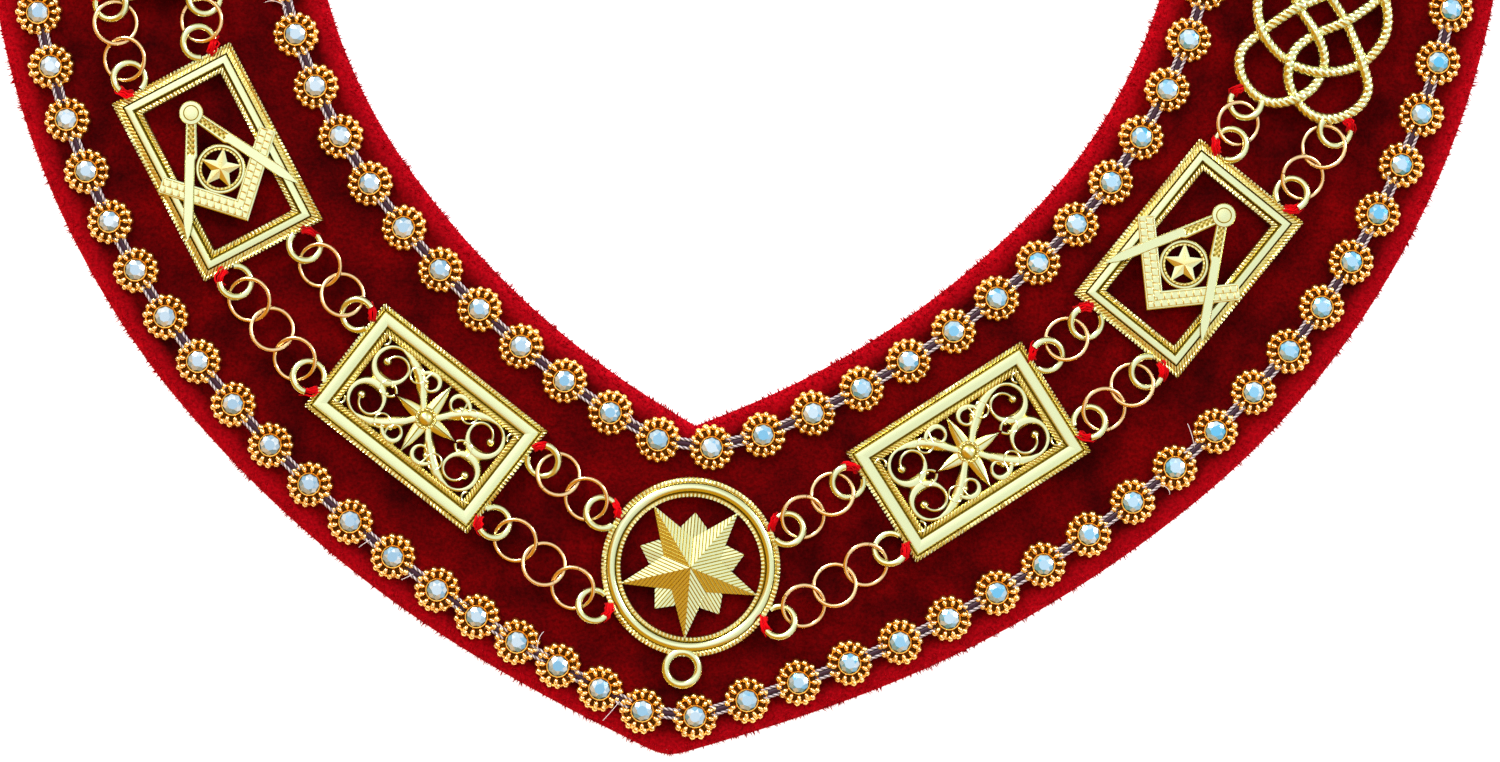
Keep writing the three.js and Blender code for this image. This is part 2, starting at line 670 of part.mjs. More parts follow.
const star = { x: MEDALLION_SHIFT, y: -MEDALLION_FROM_NOTCH, angle: 0, pieces: starMedallion() };
const plates = { star_medallion: star };
for (const [sideName, side] of [['left', -1], ['right', 1]]) {
  const run = [['star', star]];
  for (const kind of Object.keys(KINDS)) {
    const name = `${kind}_plate_${sideName}`;
    const plate = { ...placeOnBand({ side, ...PLACES[name] }), pieces: KINDS[kind].pieces() };
    plates[name] = plate;
    run.push([kind, plate]);
  }
  for (let k = 0; k < run.length - 1; k++) {
    const [[fromKind, from], [toKind, to]] = [run[k], run[k + 1]];
    for (const [rowName, row] of [['inner', -1], ['outer', 1]]) {
      const fromSpot = eyeSpot(fromKind, side, 1, row);
      const toSpot = eyeSpot(toKind, side, -1, row);
      const start = onCollar(from, fromSpot);
      const plateward = Math.atan2(from.y - start.y, from.x - start.x);
      const chain = chainBetween(start, onCollar(to, toSpot), plateward);
      for (const [plate, spot, tilt] of [[from, fromSpot, chain.startTilt], [to, toSpot, chain.endTilt]]) {
        plate.pieces.push(wireRing(EYE_D, EYE_WIRE)
          .rotateX(tilt)
          .rotateZ(chain.heading - plate.angle)
          .translate(spot.x, spot.y, chainHeight));
      }
      const name = `chain_${rowName}_${fromKind}_to_${toKind}_${sideName}`;
      collar.add(node(name, fuse(chain.rings), ringGold));
    }
  }
}
for (const [name, { x, y, angle, pieces }] of Object.entries(plates)) {
  const mesh = node(name, fuse(pieces), paleGilt);
  mesh.position.set(x, y, SEWN_Z);
  mesh.rotation.z = angle;
  collar.add(mesh);
}

const outline = new THREE.Box3().setFromObject(collar.getObjectByName('velvet_band'));
const middle = outline.getCenter(new THREE.Vector3());
collar.position.set(-middle.x, -middle.y, 0);
const group = new THREE.Group().add(collar);
group.updateMatrixWorld(true);

export default group;
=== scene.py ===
import bmesh
import bpy
import numpy as np
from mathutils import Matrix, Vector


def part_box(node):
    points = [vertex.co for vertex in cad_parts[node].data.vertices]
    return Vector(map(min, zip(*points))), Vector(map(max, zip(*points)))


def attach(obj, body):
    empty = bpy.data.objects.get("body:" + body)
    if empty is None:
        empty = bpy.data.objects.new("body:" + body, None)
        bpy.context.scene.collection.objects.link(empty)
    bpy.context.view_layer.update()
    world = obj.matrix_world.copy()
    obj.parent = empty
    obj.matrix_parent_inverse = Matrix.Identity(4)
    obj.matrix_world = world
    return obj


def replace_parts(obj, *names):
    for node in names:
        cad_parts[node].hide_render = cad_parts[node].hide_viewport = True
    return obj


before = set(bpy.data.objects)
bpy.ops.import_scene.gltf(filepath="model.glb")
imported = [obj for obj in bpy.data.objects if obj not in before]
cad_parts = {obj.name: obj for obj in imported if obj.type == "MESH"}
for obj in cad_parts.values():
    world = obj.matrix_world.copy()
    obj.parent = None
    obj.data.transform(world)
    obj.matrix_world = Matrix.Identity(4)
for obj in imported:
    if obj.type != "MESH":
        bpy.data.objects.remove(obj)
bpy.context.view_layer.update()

# Camera and studio
#
# The collar lies flat on a white table in a white tent, and is seen from straight above. A large
# soft box shines in from the upper left. Towards the lower left the tent stands open on a dim warm
# room, which gives the gilt its dark facets. The picture shows the chest half only, turned a
# little, and cuts off the nape.

MM = 0.001
CAMERA_HEIGHT = 1500
VIEW_WIDTH = 450
VIEW_MIDDLE = (15.1, -135.5)
VIEW_TURN = 5.0
SENSOR = 36
SIGHT = 20000
TENT_OPENING = (-0.59, -0.81, 0)
SOFT_BOX = (-0.3, 0.35, 0.888)
FLOOR_REACH = 4000
FLOOR_DROP = 0.5


def linear(code):
    """Linear red, green and blue of an sRGB hex colour, with alpha 1."""
    srgb = np.array([int(code[k:k + 2], 16) for k in (0, 2, 4)]) / 255
    curve = np.where(srgb <= 0.04045, srgb / 12.92, ((srgb + 0.055) / 1.055) ** 2.4)
    return (*curve.tolist(), 1.0)


def node(tree, kind, links=(), values=None, stops=(), **settings):
    """A node of that kind. Each link is (input, node it comes from, output). Values go to inputs
    by number, stops are a colour ramp's (place, hex colour), and settings are the node's
    properties or its inputs' values."""
    made = tree.nodes.new(kind)
    for name, value in settings.items():
        if hasattr(made, name):
            setattr(made, name, value)
        else:
            made.inputs[name.replace("_", " ")].default_value = value
    for number, value in (values or {}).items():
        made.inputs[number].default_value = value
    for place, _ in stops[1:-1]:
        made.color_ramp.elements.new(place)
    for k, (place, colour) in enumerate(stops):
        made.color_ramp.elements[k].position = place
        made.color_ramp.elements[k].color = linear(colour)
    for into, source, out in links:
        tree.links.new(source.outputs[out], made.inputs[into])
    return made


def finish(name, **settings):
    """A new material with its shader's inputs set. Returns it, its node tree and its shader."""
    made = bpy.data.materials.new(name)
    made.use_nodes = True
    look = made.node_tree.nodes["Principled BSDF"]
    for setting, value in settings.items():
        look.inputs[setting.replace("_", " ")].default_value = value
    return made, made.node_tree, look


scene = bpy.context.scene
scene.view_settings.view_transform = "Standard"

camera = bpy.data.objects.new("camera", bpy.data.cameras.new("camera"))
camera.data.sensor_width = SENSOR
camera.data.lens = SENSOR * CAMERA_HEIGHT / VIEW_WIDTH
camera.data.clip_end = SIGHT * MM
camera.location = (VIEW_MIDDLE[0] * MM, VIEW_MIDDLE[1] * MM, CAMERA_HEIGHT * MM)
camera.rotation_euler = (0, 0, np.radians(VIEW_TURN))
scene.collection.objects.link(camera)
scene.camera = camera


def lamp(name, place, size, power, colour):
    """A square area light at a place in metres, aimed at the middle of the collar's chest."""
    light = bpy.data.objects.new(name, bpy.data.lights.new(name, "AREA"))
    light.data.size = size
    light.data.energy = power
    light.data.color = linear(colour)[:3]
    light.location = place
    aim = bpy.data.objects["camera"].location.copy()
    aim.z = 0
    light.rotation_euler = (aim - light.location).to_track_quat("-Z", "Y").to_euler()
    scene.collection.objects.link(light)


lamp("key lamp", (-1.4, 1.7, 1.3), 0.7, 46, "fffdf8")
lamp("side fill", (1.9, 0.9, 1.2), 0.7, 24, "f4f8ff")

world = bpy.data.worlds.new("white studio")
world.use_nodes = True
sky = world.node_tree
sky.nodes.clear()
way = node(sky, "ShaderNodeTexCoord")
height = node(sky, "ShaderNodeSeparateXYZ", [("Vector", way, "Generated")])
shade = node(sky, "ShaderNodeValToRGB", [("Fac", height, "Z")], stops=[(0, "a69a70"), (0.76, "ffffff")])
opening, towards_box = (
    node(sky, "ShaderNodeVectorMath", [(0, way, "Generated")], {1: aim}, operation="DOT_PRODUCT")
    for aim in (TENT_OPENING, SOFT_BOX))
into_room = node(sky, "ShaderNodeMapRange", [("Value", opening, "Value")], From_Min=0.2, From_Max=0.32)
seen = node(sky, "ShaderNodeMix", [(0, into_room, "Result"), (6, shade, "Color")],
            {7: linear("dc9a12")}, data_type="RGBA")
box_light = node(sky, "ShaderNodeMapRange", [("Value", towards_box, "Value")],
                 From_Min=0.86, From_Max=0.99, To_Min=0.98, To_Max=1.5)
glow = node(sky, "ShaderNodeBackground", [("Color", seen, 2), ("Strength", box_light, "Result")])
node(sky, "ShaderNodeOutputWorld", [("Surface", glow, "Background")])
scene.world = world

floor_mesh = bpy.data.meshes.new("floor")
reach = FLOOR_REACH * MM
corners = [(-reach, -reach, 0), (reach, -reach, 0), (reach, reach, 0), (-reach, reach, 0)]
floor_mesh.from_pydata(corners, [], [(0, 1, 2, 3)])
floor = bpy.data.objects.new("floor", floor_mesh)
floor.location.z = -FLOOR_DROP * MM
scene.collection.objects.link(floor)
paper, _, _ = finish("white paper", Base_Color=linear("fbfbfb"), Roughness=0.9,
                     Emission_Color=linear("f4f8ff"), Emission_Strength=0.75)
floor_mesh.materials.append(paper)

# Velvet band
#
# A closed collar of cotton velvet on a firm interlining, about 97 mm wide, with its edges turned
# under so that they roll. The pile is 2 mm of upright thread, which stands out as fluff at the
# outline. A painted sheen lightens the velvet's colour on the rolled edges, where the pile leans away.

BAND_HEIGHT = 3.0
EDGE_ROLL = 5.0
HALF_WIDTH_AT_POINT = 46.0
HALF_WIDTH = 48.7
WIDENS_OVER = 150
START = (0.0, -51.0)
START_HEADING = 22.1
MIDDLE_LINE_ARCS = [(500, 4.7), (306.9, 20.5), (209.1, 36.7)]
POINT_ROUND = 14
PILE = 2.1
LANE_STEPS = 4000
WELD = 0.001


def arc_end(start, heading, radius, sweep):
    """Where an arc of that radius ends that starts at a point with a heading and turns left."""
    x = start[0] + radius * (np.sin(heading + sweep) - np.sin(heading))
    y = start[1] - radius * (np.cos(heading + sweep) - np.cos(heading))
    return x, y, heading + sweep


def closed_middle_line():
    """The arcs of the right half's middle line, with a last one that meets the axis squarely."""
    x, y, heading = *START, np.radians(START_HEADING)
    for radius, sweep in MIDDLE_LINE_ARCS:
        x, y, heading = arc_end((x, y), heading, radius, np.radians(sweep))
    closing = (x / np.sin(heading), 180 - np.degrees(heading))
    return [*MIDDLE_LINE_ARCS, closing]


ARCS = closed_middle_line()
HALF_LENGTH = sum(radius * np.radians(sweep) for radius, sweep in ARCS)


def beside_middle_line(distance, out):
    """Points and headings at distances along the middle line, set out towards the outer edge.
    A negative distance follows the first arc backwards, across the axis."""
    left = np.asarray(distance, float)
    x, y = (np.full_like(left, v) for v in START)
    heading = np.full_like(left, np.radians(START_HEADING))
    for radius, sweep in ARCS:
        turn = np.minimum(np.radians(sweep), left / radius)
        x, y, heading = arc_end((x, y), heading, radius, turn)
        left = np.maximum(left - turn * radius, 0)
    return np.stack([x + out * np.sin(heading), y - out * np.cos(heading)], -1), heading


def half_width_at(distance):
    """Half the band's width, which grows evenly from the point to the shoulder."""
    return np.interp(distance, [0, WIDENS_OVER], [HALF_WIDTH_AT_POINT, HALF_WIDTH])


NAPE, _ = beside_middle_line(HALF_LENGTH, HALF_WIDTH)
NOTCH_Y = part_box("velvet_band")[1].y / MM - float(NAPE[1])


def distance_along(path):
    """How far along a path each of its points is."""
    return np.concatenate([[0], np.cumsum(np.linalg.norm(np.diff(path, axis=0), axis=1))])


def lane(out_at, point_round):
    """The right half of a line beside the middle line, from the axis at the point to the axis at
    the nape, with its corner on the axis rounded, in the frame's millimetres, and how far along it
    each point is."""
    distance = np.linspace(-2 * HALF_WIDTH, HALF_LENGTH, LANE_STEPS)
    points, _ = beside_middle_line(distance, out_at(distance))
    points = points[points[:, 0] > 0.01]
    slope = (points[1] - points[0]) / (points[1, 0] - points[0, 0])
    axis_point = [0, points[0, 1] - points[0, 0] * slope[1]]
    points = np.concatenate([[axis_point], points, [[0, points[-1, 1]]]])
    lean = np.arctan(slope[1])
    near = np.arange(len(points)) < LANE_STEPS // 2
    near &= points[:, 0] < point_round * np.sin(lean)
    round_y = axis_point[1] + point_round / np.cos(lean)
    points[near, 1] = round_y - np.sqrt(point_round ** 2 - points[near, 0] ** 2)
    points[:, 1] += NOTCH_Y
    return points, distance_along(points)


def along_lane(curve, share):
    """Points at shares of a lane's length."""
    points, reach = curve
    return np.stack([np.interp(share * reach[-1], reach, points[:, k]) for k in (0, 1)], -1)


INNER_EDGE = lane(lambda distance: -half_width_at(distance), 0)
OUTER_EDGE = lane(half_width_at, POINT_ROUND)


def grid_faces(rows, columns, close_rows, close_columns):
    """Four-sided faces over a grid of rows by columns of points, each wrapping round or not."""
    i = np.arange(rows if close_rows else rows - 1)[:, None]
    j = np.arange(columns if close_columns else columns - 1)[None, :]
    after_i, after_j = (i + 1) % rows, (j + 1) % columns
    corners = [i * columns + j, i * columns + after_j, after_i * columns + after_j, after_i * columns + j]
    return np.stack([np.broadcast_to(c, (i.size, j.size)) for c in corners], -1).reshape(-1, 4)


def skin(points, tone=1.0, close_rows=False, close_columns=False):
    """A surface over a grid of points: its points, faces and tone. On gilt the tone is 0 in a
    recess, where shade is painted, and 1 on a height, where a highlight is painted."""
    rows, columns = points.shape[:2]
    tones = np.broadcast_to(np.asarray(tone, float), (rows, columns))
    return points.reshape(-1, 3), grid_faces(rows, columns, close_rows, close_columns), tones.reshape(-1)


def capped(points, tone=1.0, close_columns=True):
    """A surface over rows of points, closed by a point in the middle of its first and last row."""
    rows, columns = points.shape[:2]
    tones = np.broadcast_to(np.asarray(tone, float), (rows, columns))
    ends = points[[0, -1]].mean(1, keepdims=True)
    whole = np.concatenate([np.repeat(ends[:1], columns, 1), points, np.repeat(ends[1:], columns, 1)])
    shades = np.concatenate([tones[:1], tones, tones[-1:]])
    return skin(whole, shades, close_columns=close_columns)


def together(parts):
    """Several surfaces as one."""
    points, faces, tones = zip(*parts)
    starts = np.cumsum([0, *map(len, points[:-1])])
    shifted_faces = [some + start for some, start in zip(faces, starts)]
    return np.concatenate(points), np.concatenate(shifted_faces), np.concatenate(tones)


def unit(vectors):
    """The same directions, each of length 1."""
    return vectors / np.maximum(np.linalg.norm(vectors, axis=-1, keepdims=True), 1e-9)


def turned(x, y, angle):
    """Places turned about the origin."""
    c, s = np.cos(angle), np.sin(angle)
    return c * x - s * y, s * x + c * y


def placed(surface, places, angles, scales=1.0):
    """Copies of a surface, each turned about z by its angle, scaled and moved to its place."""
    points, faces, tones = surface
    x, y = turned(points[:, 0], points[:, 1], np.asarray(angles, float)[:, None])
    copies = np.stack([x, y, np.broadcast_to(points[:, 2], x.shape)], -1)
    sizes = np.broadcast_to(np.asarray(scales, float), (len(places),))
    moved = copies * sizes[:, None, None] + np.asarray(places, float)[:, None]
    starts = np.arange(len(places))[:, None, None] * len(points)
    return moved.reshape(-1, 3), (faces + starts).reshape(-1, 4), np.tile(tones, len(places))


def piece(name, surface, material, smooth=None, weld=True):
    """A mesh object of a surface in millimetres, riding on the collar. Its faces are turned
    outwards, and edges sharper than the angle smooth, in degrees, stay crisp. A face whose last
    two corners are the same is a triangle."""
    points, faces, tones = surface
    real = np.ones(faces.shape, bool)
    real[:, 3] = faces[:, 3] != faces[:, 2]
    loops = faces[real]
    mesh = bpy.data.meshes.new(name)
    mesh.vertices.add(len(points))
    mesh.vertices.foreach_set("co", (points * MM).ravel())
    mesh.loops.add(len(loops))
    mesh.loops.foreach_set("vertex_index", loops.astype(np.int32))
    mesh.polygons.add(len(faces))
    mesh.polygons.foreach_set("loop_start", (np.cumsum(real.sum(1)) - real.sum(1)).astype(np.int32))
    mesh.attributes.new("tone", "FLOAT", "POINT").data.foreach_set("value", tones.astype(np.float32))
    mesh.update(calc_edges=True)
    if weld:
        work = bmesh.new()
        work.from_mesh(mesh)
        bmesh.ops.remove_doubles(work, verts=work.verts, dist=WELD * MM)
        bmesh.ops.dissolve_degenerate(work, edges=work.edges, dist=WELD * MM / 10)
        bmesh.ops.recalc_face_normals(work, faces=work.faces)
        work.to_mesh(mesh)
        work.free()
    mesh.validate()
    mesh.shade_smooth()
    if smooth is not None:
        mesh.set_sharp_from_angle(angle=np.radians(smooth))
    mesh.materials.append(material)
    made = bpy.data.objects.new(name, mesh)
    scene.collection.objects.link(made)
    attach(made, "root")
    return made


BAND_STEPS = 420
EDGE_STEPS = 9
FLAT_STEPS = 34
# How far in from the nearer edge the painted sheen reaches, in mm.
PAINTED_SHEEN_REACH = 10
TUFT = 0.9
PATCH = 16


def band_section():
    """The band's top from the inner to the outer edge: the share across, millimetres in from the
    nearer edge, and the height, which falls over the rolled edge on a quarter ellipse."""
    roll = 1 - np.cos(np.linspace(0, np.pi / 2, EDGE_STEPS))
    inset = roll * EDGE_ROLL
    rise = BAND_HEIGHT * np.sqrt(1 - (1 - roll) ** 2)
    flat = np.linspace(0, 1, FLAT_STEPS)[1:-1]
    share = np.concatenate([np.zeros(EDGE_STEPS), flat, np.ones(EDGE_STEPS)])
    further = np.concatenate([inset, EDGE_ROLL * (1 - 2 * flat), -inset[::-1]])
    up = np.concatenate([rise, np.full(len(flat), BAND_HEIGHT), rise[::-1]])
    return share, further, up


def velvet_surface():
    """The band's skin: rows run across from the inner edge to the outer one, and one flat face
    closes each underneath. The tone is the distance from the nearer edge over the reach of the
    painted edge sheen."""
    steps = np.linspace(0, 1, BAND_STEPS)
    inner = along_lane(INNER_EDGE, steps)
    across = along_lane(OUTER_EDGE, steps) - inner
    width = np.hypot(*across.T)[:, None]
    over = across / width
    share, further, up = band_section()
    top = inner[:, None] + across[:, None] * share[:, None] + over[:, None] * further[:, None]
    right = np.concatenate([top, np.broadcast_to(up[:, None], (*top.shape[:2], 1))], -1)
    place = share * width + further
    tone = np.clip(np.minimum(place, width - place) / PAINTED_SHEEN_REACH, 0, 1)
    left = right[1:-1][::-1] * [-1, 1, 1]
    rounds = np.concatenate([right, left])
    tones = np.concatenate([tone, tone[1:-1][::-1]])
    return skin(rounds, tones, close_rows=True, close_columns=True)


def velvet():
    """Cotton velvet, dyed deep red: dark looking down into the pile. Near the rolled edges its colour
    is mixed towards bright red, a painted sheen for the haze of the leaning pile. Tufts are drawn
    0.9 mm apart, coarser than they are so that they show, in patches 16 mm across that lie
    different ways."""
    made, tree, look = finish("red cotton velvet", Roughness=1.0, Specular_IOR_Level=0.04,
                              Sheen_Weight=0.12, Sheen_Roughness=0.45, Sheen_Tint=linear("e0203a"))
    place = node(tree, "ShaderNodeTexCoord")
    tufts, patches = (
        node(tree, "ShaderNodeTexNoise", [("Vector", place, "Object")],
             Scale=1 / (size * MM), Detail=detail)
        for size, detail in ((TUFT, 3.0), (PATCH, 4.0)))
    edge = node(tree, "ShaderNodeAttribute", attribute_name="tone")
    deep = node(tree, "ShaderNodeValToRGB", [("Fac", patches, "Fac")],
                stops=[(0.3, "380002"), (0.75, "720104")])
    # Painted sheen: the colour is mixed towards bright red near the edges, for the light caught by the
    # leaning pile.
    rim = node(tree, "ShaderNodeMapRange", [("Value", edge, "Fac")],
               From_Min=0.1, From_Max=0.75, To_Min=0.8, To_Max=0.0)
    with_painted_sheen = node(tree, "ShaderNodeMix", [(0, rim, "Result"), (6, deep, "Color")],
                  {7: linear("c4061a")}, data_type="RGBA")
    speckle = node(tree, "ShaderNodeMapRange", [("Value", tufts, "Fac")],
                   From_Min=0.3, From_Max=0.7, To_Min=0.55, To_Max=1.25)
    pile = node(tree, "ShaderNodeVectorMath", [(0, with_painted_sheen, 2), (1, speckle, "Result")],
                operation="MULTIPLY")
    bump = node(tree, "ShaderNodeBump", [("Height", tufts, "Fac")], Strength=0.8, Distance=0.5 * MM)
    tree.links.new(pile.outputs[0], look.inputs["Base Color"])
    tree.links.new(bump.outputs[0], look.inputs["Normal"])
    return made


RED_VELVET = velvet()
velvet_band = piece("velvet", velvet_surface(), RED_VELVET)
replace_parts(velvet_band, "velvet_band")


PILE_TUFTS = 12000
PILE_THICKNESS = 0.22
CLUMPS = 230


def pile_fringe():
    """Tufts of pile on the rolled edges: each is a thin upright spike of three faces, rooted on
    the roll and leaning outwards, with its length and lean drawn from a seeded spread. Tufts near
    each other share a length and a lean, so that the outline is ragged."""
    spread = np.random.default_rng(11)
    roots, outs, clumps, leans = [], [], [], []
    for curve, outwards in ((OUTER_EDGE, 1), (INNER_EDGE, -1)):
        share = spread.uniform(0, 1, PILE_TUFTS // 2)
        run = unit(along_lane(curve, np.minimum(share + 1e-3, 1)) - along_lane(curve, share))
        out = np.stack([run[:, 1], -run[:, 0]], -1) * outwards
        side = spread.choice([-1, 1], len(share))[:, None] * [1, 1]
        side[:, 1] = 1
        roots.append(along_lane(curve, share) * side)
        outs.append(out * side)
        marks = np.linspace(0, 1, CLUMPS)
        clumps.append(np.interp(share, marks, spread.uniform(0.45, 1.0, CLUMPS)))
        leans.append(np.interp(share, marks, spread.normal(0, 0.5, CLUMPS)))
    root, out = np.concatenate(roots), np.concatenate(outs)
    count = len(root)
    roll = spread.uniform(0.0, 1.2, count)[:, None]
    inset = EDGE_ROLL * (1 - np.cos(roll))
    up = BAND_HEIGHT * np.sin(roll)
    twist = (np.concatenate(leans) + spread.normal(0, 0.3, count))[:, None]
    side = np.stack([-out[:, 1], out[:, 0]], -1)
    way = out * np.cos(twist) + side * np.sin(twist)
    long = PILE * (np.concatenate(clumps) * spread.uniform(0.5, 1.3, count))[:, None]
    base = np.concatenate([root - out * (inset + 0.2), up], -1)
    tip = base + np.concatenate([way * long * np.cos(roll * 0.8), long * np.sin(roll * 0.8)], -1)
    tip[:, 2] = np.clip(tip[:, 2], 0.2, None)
    lift = np.concatenate([np.zeros((count, 2)), np.full((count, 1), PILE_THICKNESS)], -1)
    sideways = np.concatenate([side * PILE_THICKNESS, np.zeros((count, 1))], -1)
    points = np.stack([base - sideways, base + sideways, base + lift, tip], 1)
    pattern = np.array([[0, 1, 3, 3], [1, 2, 3, 3], [2, 0, 3, 3], [0, 2, 1, 1]])
    faces = (pattern + 4 * np.arange(count)[:, None, None]).reshape(-1, 4)
    # Tone 0 gives every tuft the velvet's full painted edge sheen.
    return points.reshape(-1, 3), faces, np.zeros(4 * count)


piece("velvet_pile", pile_fringe(), RED_VELVET, weld=False)

# Rosette rows
#
# Cast brass rosettes with a warm gilt, sewn edge to edge along both rims of the velvet on two
# twisted threads. Each has a ring of round beads, a ring of longer ones like petals, and a plain
# cup in the middle that holds a faceted stone.

SEWN_Z = 3.3
ROSETTE_D = 14.6
ROSETTE_BACK_R = 6.1
RIM_BEADS = 15
RIM_BEAD_R = 1.3
RIM_BEAD_HEIGHT = 1.75
PETALS = 12
PETAL_LENGTH = 2.8
PETAL_HALF_WIDTH = 0.84
PETAL_HEIGHT = 1.6
PETAL_MIDDLE_R = 4.75
CUP_R = 3.55
CUP_HEIGHT = 2.5
STONE_R = 3.1
STONE_TABLE_R = 1.6
STONE_SIDES = 8

ROWS = [
    {"offset": 36.3, "point_round": 14, "side": -1, "first": 8.8, "crowded": 5, "closer": 2.2},
    {"offset": 36.3, "point_round": 14, "side": 1, "first": 7.8, "crowded": 0, "closer": 0},
    {"offset": -36.7, "point_round": 45, "side": -1, "first": 10.9, "crowded": 0, "closer": 0},
    {"offset": -36.7, "point_round": 45, "side": 1, "first": 5.4, "crowded": 0, "closer": 0},
]
ROSETTE_PITCH = 16.45


def around_z(radius, angle, up):
    """Points at a radius and an angle about z, at a height."""
    return np.stack(np.broadcast_arrays(radius * np.cos(angle), radius * np.sin(angle), up), -1)


def dome(long, wide, high, sides=8, rings=3):
    """A bead: half an ellipsoid with those half sizes, flat side down, closed underneath."""
    rise = np.linspace(0, np.pi / 2, rings, endpoint=False)[:, None]
    around = 2 * np.pi * np.arange(sides) / sides
    points = around_z(np.cos(rise), around, np.sin(rise)) * [long, wide, high]
    under, tip = (np.broadcast_to([0.0, 0.0, up], (1, sides, 3)) for up in (0.0, high))
    # Painted shade at the bead's foot, growing to a painted highlight on its top.
    tone = np.concatenate([[0.0], np.linspace(0.3, 0.95, rings), [1.0]])[:, None]
    return skin(np.concatenate([under, points, tip]), tone, close_columns=True)


def lathe(profile, sides):
    """A profile of (radius, height, tone) rows turned about z, closed on the axis at both ends."""
    radius, up, tone = np.asarray(profile, float)[::-1].T[..., None]
    return skin(around_z(radius, 2 * np.pi * np.arange(sides) / sides, up), tone, close_columns=True)


def shifted(surface, x=0.0, y=0.0, z=0.0):
    """The surface moved by x, y and z."""
    points, faces, tones = surface
    return points + [x, y, z], faces, tones


def ring_of(surface, count, radius, turn=0.0, up=0.0, sizes=1.0):
    """Copies of a surface set evenly on a circle, each with its x axis outwards."""
    angles = turn + 2 * np.pi * np.arange(count) / count
    return placed(surface, around_z(radius, angles, up), angles, sizes)


def rosette(spread):
    """One rosette about its own middle: back plate with a raised edge, rim beads of slightly
    different sizes, petals and cup."""
    # The profile tones paint shade in the hollows and highlights on the raised edges.
    back = lathe([
        (0, 0, 0), (ROSETTE_BACK_R, 0, 0.1), (ROSETTE_BACK_R + 0.3, 0.6, 0.4),
        (ROSETTE_BACK_R - 0.1, 1.2, 0.75), (ROSETTE_BACK_R - 0.5, 0.9, 0.4),
        (ROSETTE_BACK_R - 0.8, 0.5, 0.0), (0, 0.5, 0.0),
    ], 24)
    bead = dome(RIM_BEAD_R, RIM_BEAD_R, RIM_BEAD_HEIGHT)
    rim = ring_of(bead, RIM_BEADS, ROSETTE_D / 2 - RIM_BEAD_R, sizes=spread.uniform(0.82, 1.0, RIM_BEADS))
    petals = ring_of(dome(PETAL_LENGTH / 2, PETAL_HALF_WIDTH, PETAL_HEIGHT), PETALS, PETAL_MIDDLE_R, up=0.9)
    cup = lathe([
        (0, 0.5, 0), (CUP_R + 0.1, 0.5, 0.0), (CUP_R, CUP_HEIGHT - 0.3, 0.45),
        (CUP_R - 0.15, CUP_HEIGHT, 0.6), (CUP_R - 0.4, CUP_HEIGHT - 0.05, 0.5),
        (CUP_R - 0.5, CUP_HEIGHT - 0.6, 0.0), (0, CUP_HEIGHT - 0.7, 0),
    ], 24)
    return together([back, rim, petals, cup])


def rosette_places(row):
    """Where one side's rosettes sit: even steps from the first to half a step short of the axis
    at the nape, with the first few sewn closer."""
    curve = lane(lambda distance: np.full_like(distance, row["offset"]), row["point_round"])
    length = curve[1][-1]
    crowd_end = row["first"] + row["crowded"] * (ROSETTE_PITCH - row["closer"])
    count = int(round((length - crowd_end) / ROSETTE_PITCH - 0.5))
    close = row["first"] + (ROSETTE_PITCH - row["closer"]) * np.arange(row["crowded"])
    reach = np.concatenate([close, np.linspace(crowd_end, length - ROSETTE_PITCH / 2, count + 1)])
    return along_lane(curve, reach / length) * [row["side"], 1]


def gilt(name, low, slope, edge, high, roughness, grain, texture):
    """Gilt brass, whose colour follows the tone: painted shade, dark, low down in the recesses, warm
    gold on the slopes, paler edges, and a pale painted highlight on the heights. The fine grain is
    the cast skin, its size in mm, and fades on the heights, where the tone is high."""
    made, tree, look = finish(name, Metallic=1.0)
    place = node(tree, "ShaderNodeTexCoord")
    tone = node(tree, "ShaderNodeAttribute", attribute_name="tone")
    noise = node(tree, "ShaderNodeTexNoise", [("Vector", place, "Object")],
                 Scale=1 / (grain * MM), Detail=3.0)
    uneven = node(tree, "ShaderNodeMath", [(0, noise, "Fac")], {1: 0.3, 2: -0.15},
                  operation="MULTIPLY_ADD")
    # Tone plus grain: a low tone paints shade in recesses, a high tone paints a highlight on heights.
    painted_light_and_grain = node(tree, "ShaderNodeMath", [(0, tone, "Fac"), (1, uneven, 0)], operation="ADD")
    colour = node(tree, "ShaderNodeValToRGB", [("Fac", painted_light_and_grain, 0)],
                  stops=[(0, low), (0.4, slope), (0.72, edge), (1, high)])
    gloss = node(tree, "ShaderNodeMapRange", [("Value", painted_light_and_grain, 0)],
                 To_Min=roughness + 0.25, To_Max=roughness)
    depth = node(tree, "ShaderNodeMapRange", [("Value", tone, "Fac")],
                 From_Min=0.5, From_Max=1.0, To_Min=texture, To_Max=texture * 0.15)
    bump = node(tree, "ShaderNodeBump", [("Height", noise, "Fac"), ("Strength", depth, "Result")],
                Distance=0.15 * MM)
    tree.links.new(colour.outputs[0], look.inputs["Base Color"])
    tree.links.new(gloss.outputs[0], look.inputs["Roughness"])
    tree.links.new(bump.outputs[0], look.inputs["Normal"])
    return made


